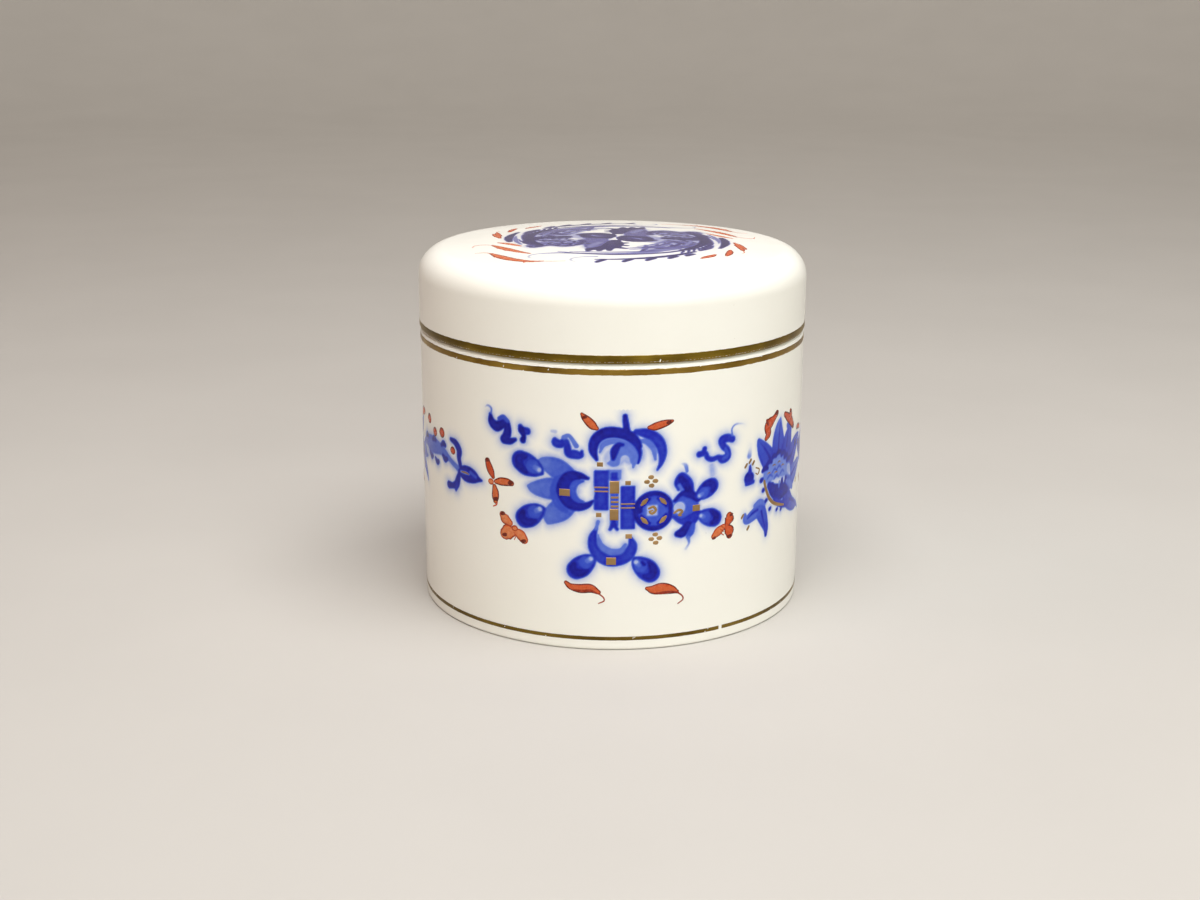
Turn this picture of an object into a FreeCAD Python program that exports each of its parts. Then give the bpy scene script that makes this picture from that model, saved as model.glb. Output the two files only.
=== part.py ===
"""Round porcelain trinket box: a cup with a raised neck, and a domed lid that drops over the neck.

Both pieces are turned on one axis, +Z up. The origin is at the middle of the ring that the cup
stands on. The lid is drawn with its own rim at Z 0, and its Placement seats it on the cup's ledge.
"""

import FreeCAD, Part
import math
import os

import Sketcher

# Driving dimensions, in millimetres: name, size, what it is.
SIZES = [
    ("cup_diameter", 76.0, "outside of the cup's straight wall"),
    ("cup_height", 54.5, "from the foot ring to the ledge that the lid sits on"),
    ("cup_wall", 3.2, "thickness of the cup's side"),
    ("floor_thickness", 3.2, "thickness of the cup's floor over the recess"),
    ("floor_corner", 4.0, "inside radius where the floor meets the wall"),
    ("foot_ring_width", 3.2, "width of the ring that the cup stands on"),
    ("foot_recess", 1.6, "depth of the recess inside the foot ring"),
    ("foot_edge", 0.5, "rounding of the foot ring's edges"),
    ("ledge_edge", 0.9, "rounding of the cup's outer top edge"),
    ("ledge_thickness", 3.2, "porcelain under the ledge"),
    ("ledge_slope", 3.0, "height of the slope under the ledge, inside the cup"),
    ("neck_height", 7.0, "how far the neck rises above the ledge"),
    ("neck_wall", 2.4, "thickness of the neck"),
    ("neck_edge", 0.8, "rounding of the neck's top edges"),
    ("neck_root", 0.5, "rounding where the neck meets the ledge"),
    ("lid_overhang", 0.15, "how far the lid stands out past the cup's wall"),
    ("lid_height", 17.1, "from the lid's rim to the top of its crown"),
    ("lid_wall", 3.0, "thickness of the lid"),
    ("lid_shoulder", 5.4, "outside radius between the lid's side and its crown"),
    ("crown_radius", 378.0, "radius of the lid's gentle dome"),
    ("lid_rim_edge", 0.7, "rounding of the lid's outer bottom edge"),
    ("lid_mouth_edge", 0.6, "chamfer inside the lid's mouth, which clears the neck's root"),
    ("neck_clearance", 0.35, "gap all round between the neck and the lid"),
]

# Sizes that follow from the driving ones, as expressions on the sheet.
CUP_RADIUS = "dims.cup_diameter / 2"
CUP_BORE = f"({CUP_RADIUS} - dims.cup_wall)"
FLOOR_TOP = "(dims.foot_recess + dims.floor_thickness)"
LEDGE_UNDERSIDE = "(dims.cup_height - dims.ledge_thickness)"
SLOPE_START = f"({LEDGE_UNDERSIDE} - dims.ledge_slope)"
NECK_TOP = "(dims.cup_height + dims.neck_height)"
LID_RADIUS = f"({CUP_RADIUS} + dims.lid_overhang)"
LID_BORE = f"({LID_RADIUS} - dims.lid_wall)"
NECK_RADIUS = f"({LID_BORE} - dims.neck_clearance)"
NECK_BORE = f"({NECK_RADIUS} - dims.neck_wall)"
FOOT_BORE = f"({CUP_RADIUS} - dims.foot_ring_width)"

TOUCH = 1e-4  # mm: how near an edge must lie to the circle it is looked up by


def make_sheet(doc):
    sheet = doc.addObject("Spreadsheet::Sheet", "dims")
    for row, (name, size, meaning) in enumerate(SIZES, start=1):
        sheet.set(f"A{row}", name)
        sheet.set(f"B{row}", str(size))
        sheet.set(f"C{row}", meaning)
        sheet.setAlias(f"B{row}", name)
    doc.recompute()
    return sheet


def value(doc, expression):
    """The size that an expression on the sheet gives, in mm."""
    return float(doc.getObject("dims").evalExpression(expression))


def new_body(doc, label):
    body = doc.addObject("PartDesign::Body", label)
    body.Label = label
    return body


def half_plane_sketch(body, name):
    """A sketch on the body's own XZ plane: its X is the radius and its Y is the height."""
    sketch = body.newObject("Sketcher::SketchObject", name)
    plane = next(f for f in body.Origin.OriginFeatures if f.Role == "XZ_Plane")
    sketch.AttachmentSupport = [(plane, "")]
    sketch.MapMode = "FlatFace"
    return sketch


def hold_point(sketch, geometry, point, radius, height, tag):
    """Pins one end of a line at a radius and a height that follow the sheet."""
    axes = (("DistanceX", radius, -2, "radius"), ("DistanceY", height, -1, "height"))
    for kind, expression, axis, word in axes:
        if expression == "0":
            on_axis = Sketcher.Constraint("PointOnObject", geometry, point, axis)
            sketch.addConstraint(on_axis)
            continue
        size = value(sketch.Document, expression)
        distance = Sketcher.Constraint(kind, -1, 1, geometry, point, size)
        index = sketch.addConstraint(distance)
        sketch.renameConstraint(index, f"{word}_{tag}")
        sketch.setExpression(f"Constraints.{word}_{tag}", expression)


def polygon_sketch(body, name, corners):
    """A closed outline of straight lines, each corner held at a (radius, height) from the sheet."""
    sketch = half_plane_sketch(body, name)
    places = [
        FreeCAD.Vector(value(body.Document, r), value(body.Document, h), 0) for r, h in corners
    ]
    for here, there in zip(places, places[1:] + places[:1]):
        sketch.addGeometry(Part.LineSegment(here, there), False)
    for line in range(len(corners)):
        following = (line + 1) % len(corners)
        sketch.addConstraint(Sketcher.Constraint("Coincident", line, 2, following, 1))
    for line, (radius, height) in enumerate(corners):
        hold_point(sketch, line, 1, radius, height, str(line))
    return sketch


def turn(body, sketch, kind, name):
    """Turns a sketch a whole turn about Z: a Revolution adds porcelain and a Groove cuts it."""
    feature = body.newObject(f"PartDesign::{kind}", name)
    feature.Profile = sketch
    feature.ReferenceAxis = (sketch, ["V_Axis"])
    feature.Angle = 360.0
    sketch.Visibility = False
    body.Document.recompute()
    return feature


def round_edges(shape, radius, height):
    """Names of the circular edges about Z with this radius, at this height."""
    found = []
    for number, edge in enumerate(shape.Edges, start=1):
        box = edge.BoundBox
        flat = box.ZLength < TOUCH and abs(box.ZMin - height) < TOUCH
        if flat and isinstance(edge.Curve, Part.Circle) and abs(edge.Curve.Radius - radius) < TOUCH:
            found.append(f"Edge{number}")
    return found


def soften(body, base, kind, name, size, places):
    """Fillets or chamfers the turned edges at (radius, height) places by a size from the sheet."""
    doc = body.Document
    edges = []
    for radius, height in places:
        here = round_edges(base.Shape, value(doc, radius), value(doc, height))
        if not here:
            raise ValueError(f"{name}: no edge at radius {radius}, height {height}")
        edges += here
    feature = body.newObject(f"PartDesign::{kind}", name)
    feature.Base = (base, edges)
    feature.setExpression("Radius" if kind == "Fillet" else "Size", size)
    doc.recompute()
    return feature


def make_cup(doc):
    """The cup: a straight turned wall with a foot ring, a ledge and a thinner neck above it."""
    cup = new_body(doc, "cup")
    blank_corners = [
        ("0", "0"),
        (CUP_RADIUS, "0"),
        (CUP_RADIUS, "dims.cup_height"),
        (NECK_RADIUS, "dims.cup_height"),
        (NECK_RADIUS, NECK_TOP),
        ("0", NECK_TOP),
    ]
    turn(cup, polygon_sketch(cup, "cup_blank_outline", blank_corners), "Revolution", "cup_blank")
    hollow_corners = [
        ("0", FLOOR_TOP),
        (CUP_BORE, FLOOR_TOP),
        (CUP_BORE, SLOPE_START),
        (NECK_BORE, LEDGE_UNDERSIDE),
        (NECK_BORE, NECK_TOP),
        ("0", NECK_TOP),
    ]
    turn(cup, polygon_sketch(cup, "cup_hollow_outline", hollow_corners), "Groove", "cup_hollow")
    recess_corners = [
        ("0", "0"),
        (FOOT_BORE, "0"),
        (FOOT_BORE, "dims.foot_recess"),
        ("0", "dims.foot_recess"),
    ]
    feature = turn(cup, polygon_sketch(cup, "foot_recess_outline", recess_corners), "Groove", "foot_recess")
    roundings = [
        ("foot_rounding", "dims.foot_edge", [(CUP_RADIUS, "0"), (FOOT_BORE, "0")]),
        ("ledge_rounding", "dims.ledge_edge", [(CUP_RADIUS, "dims.cup_height")]),
        ("neck_rounding", "dims.neck_edge", [(NECK_RADIUS, NECK_TOP), (NECK_BORE, NECK_TOP)]),
        ("neck_root_rounding", "dims.neck_root", [(NECK_RADIUS, "dims.cup_height")]),
        ("floor_rounding", "dims.floor_corner", [(CUP_BORE, FLOOR_TOP)]),
    ]
    for name, size, places in roundings:
        feature = soften(cup, feature, "Fillet", name, size, places)
    return cup


def cap_outline(body, name, inset):
    """Half a cap: flat rim, straight side, shoulder arc and crown arc, closed on the axis.

    The inset, an expression, draws the same cap that much smaller for the hollow inside it.
    """
    doc = body.Document
    sketch = half_plane_sketch(body, name)
    rules = {
        "side_radius": f"{LID_RADIUS} - {inset}",
        "shoulder_radius": f"dims.lid_shoulder - {inset}",
        "dome_radius": f"dims.crown_radius - {inset}",
        "cap_height": f"dims.lid_height - {inset}",
    }
    side_radius, shoulder, dome_radius, cap_height = (value(doc, rule) for rule in rules.values())
    middle = FreeCAD.Vector(0, cap_height - dome_radius, 0)
    # The shoulder's centre lies (dome - shoulder) from the dome's, which makes the arcs tangent.
    reach = side_radius - shoulder
    rise = ((dome_radius - shoulder) ** 2 - reach**2) ** 0.5
    corner = FreeCAD.Vector(reach, middle.y + rise, 0)
    tangent_angle = math.atan2(rise, reach)
    rim_end = FreeCAD.Vector(side_radius, 0, 0)
    origin = FreeCAD.Vector(0, 0, 0)
    up = FreeCAD.Vector(0, 0, 1)
    outline = [
        Part.LineSegment(origin, rim_end),
        Part.LineSegment(rim_end, FreeCAD.Vector(side_radius, corner.y, 0)),
        Part.ArcOfCircle(Part.Circle(corner, up, shoulder), 0, tangent_angle),
        Part.ArcOfCircle(Part.Circle(middle, up, dome_radius), tangent_angle, math.pi / 2),
        Part.LineSegment(FreeCAD.Vector(0, cap_height, 0), origin),
    ]
    sketch.addGeometry(outline, False)
    rim, side, arc, dome, axis = range(len(outline))
    for joined in (
        ("Coincident", rim, 1, -1, 1),
        ("Horizontal", rim),
        ("Coincident", rim, 2, side, 1),
        ("Vertical", side),
        ("Tangent", side, 2, arc, 1),
        ("Tangent", arc, 2, dome, 1),
        ("PointOnObject", dome, 3, -2),
        ("Coincident", dome, 2, axis, 1),
        ("PointOnObject", axis, 1, -2),
        ("Coincident", axis, 2, rim, 1),
    ):
        sketch.addConstraint(Sketcher.Constraint(*joined))
    sized = {
        "side_radius": ("DistanceX", rim, 1, rim, 2, side_radius),
        "shoulder_radius": ("Radius", arc, shoulder),
        "dome_radius": ("Radius", dome, dome_radius),
        "cap_height": ("DistanceY", axis, 2, axis, 1, cap_height),
    }
    for word, constraint in sized.items():
        index = sketch.addConstraint(Sketcher.Constraint(*constraint))
        sketch.renameConstraint(index, word)
        sketch.setExpression(f"Constraints.{word}", rules[word])
    return sketch


def make_lid(doc):
    """The lid: a turned cap with a gentle crown and an even wall, open below."""
    lid = new_body(doc, "lid")
    turn(lid, cap_outline(lid, "lid_outline", "0"), "Revolution", "lid_cap")
    hollow = turn(lid, cap_outline(lid, "lid_hollow_outline", "dims.lid_wall"), "Groove", "lid_hollow")
    feature = soften(lid, hollow, "Fillet", "lid_rim_rounding", "dims.lid_rim_edge", [(LID_RADIUS, "0")])
    soften(lid, feature, "Chamfer", "lid_mouth_chamfer", "dims.lid_mouth_edge", [(LID_BORE, "0")])
    lid.setExpression("Placement.Base.z", "dims.cup_height")
    return lid


def check(doc, pieces):
    """Stops the build if any object failed or a piece isn't one valid closed solid."""
    for thing in doc.Objects:
        if "Invalid" in thing.State or "Error" in thing.State:
            raise RuntimeError(f"{thing.Label} failed: {thing.State}")
    for piece in pieces:
        shape = piece.Shape
        if shape.isNull() or not shape.isValid() or len(shape.Solids) != 1:
            raise RuntimeError(f"{piece.Label} isn't one valid solid")


def main():
    doc = FreeCAD.newDocument("trinket_box")
    make_sheet(doc)
    pieces = [make_cup(doc), make_lid(doc)]
    doc.recompute()
    check(doc, pieces)
    os.makedirs("parts", exist_ok=True)
    for piece in pieces:
        piece.Shape.exportStep(f"parts/{piece.Label}.step")
        box = piece.Shape.BoundBox
        print(
            f"{piece.Label}: {piece.Shape.Volume / 1000:.2f} cm3,"
            f" {box.XLength:.2f} x {box.YLength:.2f} x {box.ZLength:.2f} mm,"
            f" Z {box.ZMin:.2f} to {box.ZMax:.2f}"
        )
    shared = pieces[0].Shape.common(pieces[1].Shape).Volume
    print(f"overlap of cup and lid: {shared:.4f} mm3")


main()
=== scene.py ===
# %% [markdown]
# # A round porcelain trinket box
# The real box is two pieces of white porcelain, a cup and a lid, turned round one axis, glazed and
# fired. Decorators then painted it: cobalt blue under the glaze, iron red and gold over it.
# The frame below holds the two solids with their true sizes. This lesson builds what the eye sees:
# finely turned porcelain, the blue that sinks into the glaze, and thin films of red and gold.

# %% Load the frame
import math

import bmesh
import bpy
import numpy as np
from mathutils import Matrix, Vector


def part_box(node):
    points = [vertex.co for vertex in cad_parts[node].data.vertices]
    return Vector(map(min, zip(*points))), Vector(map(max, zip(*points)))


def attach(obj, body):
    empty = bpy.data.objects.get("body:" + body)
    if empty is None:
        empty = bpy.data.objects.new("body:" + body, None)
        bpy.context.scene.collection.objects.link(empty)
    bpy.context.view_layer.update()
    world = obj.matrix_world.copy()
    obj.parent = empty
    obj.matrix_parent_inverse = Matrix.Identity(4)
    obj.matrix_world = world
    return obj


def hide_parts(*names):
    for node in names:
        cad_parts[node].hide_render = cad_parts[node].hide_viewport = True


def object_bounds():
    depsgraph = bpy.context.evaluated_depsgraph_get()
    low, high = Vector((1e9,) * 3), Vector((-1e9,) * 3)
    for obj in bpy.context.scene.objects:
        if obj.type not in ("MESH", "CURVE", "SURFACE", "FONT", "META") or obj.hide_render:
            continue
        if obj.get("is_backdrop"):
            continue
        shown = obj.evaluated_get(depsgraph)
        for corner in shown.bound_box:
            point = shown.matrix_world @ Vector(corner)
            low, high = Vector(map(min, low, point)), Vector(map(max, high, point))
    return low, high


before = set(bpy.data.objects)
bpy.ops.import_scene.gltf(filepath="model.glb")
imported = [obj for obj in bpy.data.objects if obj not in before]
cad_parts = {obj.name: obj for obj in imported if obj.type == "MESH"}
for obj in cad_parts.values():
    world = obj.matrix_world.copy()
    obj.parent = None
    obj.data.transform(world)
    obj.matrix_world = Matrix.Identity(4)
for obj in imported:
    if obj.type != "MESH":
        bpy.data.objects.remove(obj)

# %% [markdown]
# ## Sizes
# Painters and potters think in millimetres and Blender in metres, so lengths are kept in mm and
# turned to metres with one factor. Outside sizes come from the frame, so that the porcelain drawn
# here is exactly the porcelain that was designed. Wall thicknesses, which a box can't tell, are
# written down as named values.

# %% Sizes from the frame
MM = 0.001
cad_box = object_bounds()
_, cup_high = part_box("cup")
lid_low, lid_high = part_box("lid")

WALL_RADIUS = cup_high.x / MM
LID_RADIUS = lid_high.x / MM
SEAM = lid_low.z / MM
NECK_TOP = cup_high.z / MM
CROWN = lid_high.z / MM

FILM = 0.03  # how thick the gold and the enamel lie; the lid's porcelain is drawn this much smaller
BARE = 0.02  # how thick the unglazed skin is drawn on the foot and the seat

print(f"cup radius {WALL_RADIUS:.2f}, seam at {SEAM:.2f}, neck top {NECK_TOP:.2f} mm")
print(f"lid radius {LID_RADIUS:.2f}, crown at {CROWN:.2f} mm")

# %% [markdown]
# ## Small helpers
# Nearly everything here is made by node trees, for shapes and for finishes alike. One function
# adds a node, sets it up and links it. Another turns a hex colour, which is how a glaze chart
# gives it, into the linear values that Blender mixes.

# %% Colours and nodes
def linear(code):
    """A hex colour such as "#f2ede0" as linear red, green, blue and alpha."""
    parts = [int(code[i : i + 2], 16) / 255 for i in (1, 3, 5)]
    return [p / 12.92 if p <= 0.04045 else ((p + 0.055) / 1.055) ** 2.4 for p in parts] + [1.0]


MATH = "ShaderNodeMath"
MIX = "ShaderNodeMix"
SHARE, FROM, TO = 0, 6, 7  # the sockets of a Mix node that mixes two colours


def wire(tree, node, inputs):
    """Sets sockets, in order or by name or number, to a value, a socket or a node's result."""
    named = inputs if isinstance(inputs, dict) else dict(enumerate(inputs))
    for name, value in named.items():
        if isinstance(value, bpy.types.Node):
            value = next(socket for socket in value.outputs if socket.enabled)
        if isinstance(value, bpy.types.NodeSocket):
            tree.links.new(value, node.inputs[name])
        else:
            node.inputs[name].default_value = value


def add(tree, kind, inputs=(), stops=(), **settings):
    """Adds a node. Settings are its properties, and stops a ramp's (position, hex colour) pairs."""
    node = tree.nodes.new(kind)
    for name, value in settings.items():
        setattr(node, name, value)
    for i, (position, code) in enumerate(stops):
        if i == len(node.color_ramp.elements):
            node.color_ramp.elements.new(1.0)
        node.color_ramp.elements[i].position = position
        node.color_ramp.elements[i].color = linear(code)
    wire(tree, node, inputs)
    return node


print("cobalt ultramarine in linear values:", [round(v, 3) for v in linear("#1421ae")])

# %% [markdown]
# ## Recipes for shapes
# A Geometry Nodes tree is a recipe that can be used again with other sizes. Each recipe below has
# named inputs. `shaped` runs one or more recipes on a starting mesh and keeps the result as a plain
# mesh, with its faces turned outwards, so nothing is left to be worked out later.

# %% Making recipes
SOCKETS = {float: "NodeSocketFloat", int: "NodeSocketInt", type(None): "NodeSocketMaterial"}


def new_recipe(name, **defaults):
    """An empty Geometry Nodes tree with a Geometry input and output and these named inputs."""
    tree = bpy.data.node_groups.new(name, "GeometryNodeTree")
    tree.interface.new_socket("Geometry", in_out="INPUT", socket_type="NodeSocketGeometry")
    tree.interface.new_socket("Geometry", in_out="OUTPUT", socket_type="NodeSocketGeometry")
    for label, value in defaults.items():
        socket = tree.interface.new_socket(label, in_out="INPUT", socket_type=SOCKETS[type(value)])
        if value is not None:
            socket.default_value = value
    given = add(tree, "NodeGroupInput").outputs
    return tree, given


def finish_recipe(tree, geometry, finish):
    """Every recipe ends alike: smooth, real geometry, one finish."""
    smooth = add(tree, "GeometryNodeSetShadeSmooth", [geometry])
    real = add(tree, "GeometryNodeRealizeInstances", [smooth])
    done = add(tree, "GeometryNodeSetMaterial", {"Geometry": real, "Material": finish})
    add(tree, "NodeGroupOutput", [done])
    print(f"{tree.name}: {len(tree.nodes)} nodes")


# %% Running recipes
def shaped(name, start, *steps):
    """Runs recipes, each with its settings, on a mesh and returns an object with a plain mesh."""
    piece = bpy.data.objects.new(name, start)
    bpy.context.scene.collection.objects.link(piece)
    for tree, settings in steps:
        modifier = piece.modifiers.new(tree.name, "NODES")
        modifier.node_group = tree
        for socket in tree.interface.items_tree:
            if socket.in_out == "INPUT" and socket.name in settings:
                modifier[socket.identifier] = settings[socket.name]
    graph = bpy.context.evaluated_depsgraph_get()
    mesh = bpy.data.meshes.new_from_object(piece.evaluated_get(graph))
    piece.modifiers.clear()
    piece.data = mesh
    mesh.name = name
    work = bmesh.new()
    work.from_mesh(mesh)
    bmesh.ops.recalc_face_normals(work, faces=work.faces)
    work.to_mesh(mesh)
    open_edges = sum(1 for edge in work.edges if not edge.is_manifold)
    print(f"{name}: {len(mesh.polygons)} faces, {open_edges} open edges")
    work.free()
    return piece


def line_mesh(name, points):
    """A mesh with no faces: one chain of edges through (x, y, z) points given in mm."""
    mesh = bpy.data.meshes.new(name)
    chain = [(i, i + 1) for i in range(len(points) - 1)]
    mesh.from_pydata([Vector(p) * MM for p in points], chain, [])
    return mesh


# %% [markdown]
# ## The floor
# The box stands on a plain pale board that curves up into a wall all round, like a shallow dish. A
# flat plane would do from the front only: its edge would show as a horizon from the other sides.
# The dish is a line turned round the axis in plain mesh code, since it is made only once.

# %% Floor
def make_floor(flat=1.1, bend=0.7, height=1.9, steps=64):
    """A floor that curves up all round into a wall, in metres.

    Its finish is matt emulsion paint on board: no highlight at all, and a very faint mottling.
    """
    angles = np.linspace(0, math.pi / 2, 11)
    line = [(flat + bend * math.sin(a), bend * (1 - math.cos(a))) for a in angles]
    line.append((flat + bend, height))
    turns = [2 * math.pi * k / steps for k in range(steps)]
    corners = [(r * math.cos(a), r * math.sin(a), z) for r, z in line for a in turns]
    faces = [tuple(range(steps))]
    for ring in range(len(line) - 1):
        for k in range(steps):
            here, there = ring * steps + k, ring * steps + (k + 1) % steps
            faces.append((here, here + steps, there + steps, there))
    mesh = bpy.data.meshes.new("floor")
    mesh.from_pydata(corners, [], faces)
    for face in mesh.polygons:
        face.use_smooth = True
    floor = bpy.data.objects.new("floor", mesh)
    bpy.context.scene.collection.objects.link(floor)
    board = bpy.data.materials.new("matt painted board")
    board.use_nodes = True
    tree = board.node_tree
    grain = add(tree, "ShaderNodeTexNoise", {"Scale": 60.0, "Detail": 4.0})
    paint = {SHARE: grain, FROM: linear("#bcb8b2"), TO: linear("#c3bfb9")}
    tint = add(tree, MIX, paint, data_type="RGBA")
    wire(tree, tree.nodes["Principled BSDF"], {"Base Color": tint, "Roughness": 0.8})
    mesh.materials.append(board)
    print(f"floor: flat to {flat} m from the box, then up to {height} m")
    return floor


make_floor()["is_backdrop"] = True

# %% [markdown]
# ## The light
# A glossy white pot is mostly seen by what it mirrors. A wide soft light above gives the broad
# highlight on the lid's shoulder. A large one in front keeps the painted wall readable, and a dim
# warm one on the left colours the shadow side. Four washes light the wall round the floor and turn
# away from the box, so that it has a pale room to mirror from every side. Sun and sky would be
# simpler, but their hard edge would cut across the soft glaze.

# %% Light
def make_softbox(name, place, target, size, power, colour):
    """A rectangular soft light, in metres and watts, turned towards a target."""
    light = bpy.data.lights.new(name, "AREA")
    light.shape = "RECTANGLE"
    light.size, light.size_y = size
    light.energy = power
    light.color = linear(colour)[:3]
    lamp = bpy.data.objects.new(name, light)
    lamp.location = place
    lamp.rotation_euler = (Vector(target) - Vector(place)).to_track_quat("-Z", "Y").to_euler()
    lamp.visible_camera = False
    bpy.context.scene.collection.objects.link(lamp)
    print(f"{name}: {power} W, {size[0]} by {size[1]} m")
    return lamp


middle = (0.0, 0.0, CROWN * MM / 2)
make_softbox("overhead softbox", (0.06, -0.20, 0.62), middle, (0.62, 0.42), 5.6, "#ffffff")
make_softbox("front fill", (0.30, -0.82, 0.34), middle, (0.7, 0.5), 2.6, "#fbfff8")
make_softbox("warm fill", (-0.95, -0.15, 0.62), middle, (0.7, 0.7), 0.8, "#ff8c3c")

for side, turn, power in (
    ("back", 90, 14.0), ("left", 180, 1.6), ("front", 270, 3.6), ("right", 0, 3.6),
):
    out = Vector((math.cos(math.radians(turn)), math.sin(math.radians(turn)), 0.0))
    high, low = 0.55 * out + Vector((0, 0, 1.5)), 1.8 * out + Vector((0, 0, 0.9))
    make_softbox(f"{side} wall wash", high, low, (1.4, 0.5), power, "#fffaf4")

# %% A faint light from the room itself
room = bpy.data.worlds.new("soft room")
bpy.context.scene.world = room
room.use_nodes = True
sky = room.node_tree.nodes["Background"]
sky.inputs["Color"].default_value = linear("#ecdcc8")
sky.inputs["Strength"].default_value = 0.04
print(f"{len(bpy.data.lights)} lights, and the room at {sky.inputs['Strength'].default_value:.2f}")

# %% [markdown]
# ## The camera
# The camera looks slightly down, as a person does at a box on a table, from a hand's reach away.
# Its place is in mm in the box's own frame, and its three axes are written as a matrix, so that
# the tilt and the tiny roll are exact.

# %% Camera
CAMERA_AT = Vector((-2.3, -329.7, 121.7)) * MM
CAMERA_DOWN = math.radians(15.86)
CAMERA_ROLL = math.radians(0.19)

across = Vector((1, 0, 0))
upward = Vector((0, math.sin(CAMERA_DOWN), math.cos(CAMERA_DOWN)))
forward = Vector((0, math.cos(CAMERA_DOWN), -math.sin(CAMERA_DOWN)))
rolled = Matrix.Rotation(CAMERA_ROLL, 3, -forward)
axes = Matrix((rolled @ across, rolled @ upward, -forward)).transposed()

lens = bpy.data.cameras.new("camera")
lens.sensor_width = 36.0
lens.lens = 50.5
lens.clip_start = 0.01
camera = bpy.data.objects.new("camera", lens)
camera.matrix_world = Matrix.Translation(CAMERA_AT) @ axes.to_4x4()
bpy.context.scene.collection.objects.link(camera)
bpy.context.scene.camera = camera
bpy.context.scene.view_settings.view_transform = "Standard"
print(f"camera {CAMERA_AT.length / MM:.0f} mm away")

# %% [markdown]
# ## The finishes
# ### Glazed porcelain
# Porcelain is a dense warm-white body under a clear glaze that is about as glossy as window glass
# (IOR 1.5) but gently uneven, so highlights are broad with soft edges. The cobalt lies under that
# same glaze, so it is part of the same material: an attribute called `cobalt` on the mesh says how
# much pigment is there, from 0 to 1, and the colour goes from bare porcelain through a pale
# grey-blue haze to deep ultramarine, as real cobalt oxide does when it is laid on thicker.

# %% Tones of cobalt, and mottling of a real size
COBALT_CHART = (
    (0.0, "#b2c3e2"), (0.3, "#6c86d6"), (0.55, "#334ec4"), (0.78, "#1421ae"), (1.0, "#07027c"),
)
LID_CHART_GREYED_BY_PAINTED_GLARE = (  # painted glare: the lid's cobalt is drawn greyer and more violet, standing in for the glaze's bright reflection over the top
    (0.0, "#b8bbd2"), (0.3, "#8688b6"), (0.55, "#57538f"), (0.78, "#352c6e"), (1.0, "#1d144e"),
)


def new_finish(name):
    """A material with only its Principled shader; returns it, its tree and the shader."""
    finish = bpy.data.materials.new(name)
    finish.use_nodes = True
    tree = finish.node_tree
    return finish, tree, tree.nodes["Principled BSDF"]


def mottle(tree, size_mm, detail=2.0, stretch=(1, 1, 1), seed=0.0):
    """Cloudy mottling with blobs about size_mm across, on the piece's own coordinates."""
    place = add(tree, "ShaderNodeTexCoord").outputs["Object"]
    moved = {"Vector": place, "Scale": stretch, "Location": (seed, 0, 0)}
    held = add(tree, "ShaderNodeMapping", moved)
    clouds = {"Vector": held, "Scale": 1 / (size_mm * MM), "Detail": detail}
    return add(tree, "ShaderNodeTexNoise", clouds)


print(f"cobalt goes from {COBALT_CHART[0][1]} where it is thin to {COBALT_CHART[-1][1]}")

# %% Glazed porcelain, with cobalt under the glaze
def make_porcelain(name, chart):
    """White porcelain under a clear, faintly rippled glaze, with blue where `cobalt` is."""
    finish, tree, skin = new_finish(name)
    clay = {SHARE: mottle(tree, 24.0, 3.0), FROM: linear("#f0eee4"), TO: linear("#f4f2ea")}
    speck = add(tree, MATH, [mottle(tree, 0.7, 1.0, seed=3.0), 0.83], operation="GREATER_THAN")
    faint = add(tree, MATH, [speck, 0.25], operation="MULTIPLY")
    specked = {SHARE: faint, FROM: add(tree, MIX, clay, data_type="RGBA"), TO: linear("#8a7a60")}
    body = add(tree, MIX, specked, data_type="RGBA")

    laid = add(tree, "ShaderNodeAttribute", attribute_name="cobalt").outputs["Fac"]
    fine, broad = mottle(tree, 0.9, 4.0, seed=7.0), mottle(tree, 3.5, 2.0, seed=9.0)
    pooled = add(tree, MATH, [fine, 0.30, 0.85], operation="MULTIPLY_ADD")
    drifted = add(tree, MATH, [broad, 0.24, 0.88], operation="MULTIPLY_ADD")
    uneven = add(tree, MATH, [pooled, drifted], operation="MULTIPLY")
    depth = add(tree, MATH, [laid, uneven], operation="MULTIPLY")
    blue = add(tree, "ShaderNodeValToRGB", [depth], stops=chart)
    shown = add(
        tree, "ShaderNodeMapRange", {"Value": depth, "From Min": 0.02, "From Max": 0.34},
        interpolation_type="SMOOTHSTEP",
    )

    peel = {"Height": mottle(tree, 2.2, 2.0, seed=1.0), "Distance": 0.012 * MM, "Strength": 0.5}
    sheen = {"Value": mottle(tree, 6.0, seed=5.0), "To Min": 0.17, "To Max": 0.25}
    surface = {
        "Base Color": add(tree, MIX, {SHARE: shown, FROM: body, TO: blue}, data_type="RGBA"),
        "Roughness": add(tree, "ShaderNodeMapRange", sheen),
        "Normal": add(tree, "ShaderNodeBump", peel),
        "IOR": 1.5,
        "Specular IOR Level": 0.22,
    }
    wire(tree, skin, surface)
    print(f"{name}: {len(tree.nodes)} nodes, {len(chart)} tones of blue")
    return finish


PORCELAIN = make_porcelain("glazed porcelain", COBALT_CHART)
# The lid's copy of the porcelain differs only in its cobalt, which is greyed as painted glare from
# the glaze's reflection over the top.
LID_PORCELAIN = make_porcelain("glazed porcelain, lid painting", LID_CHART_GREYED_BY_PAINTED_GLARE)

# %% [markdown]
# ### Biscuit
# Where the glaze is wiped off, so that the piece doesn't stick to the kiln shelf or to its lid, the
# fired body shows. It could be painted into the glaze's own material with a mask. A finish of its
# own was chosen, because a bare ring is a different surface: matt, sandy and a little darker.

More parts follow.
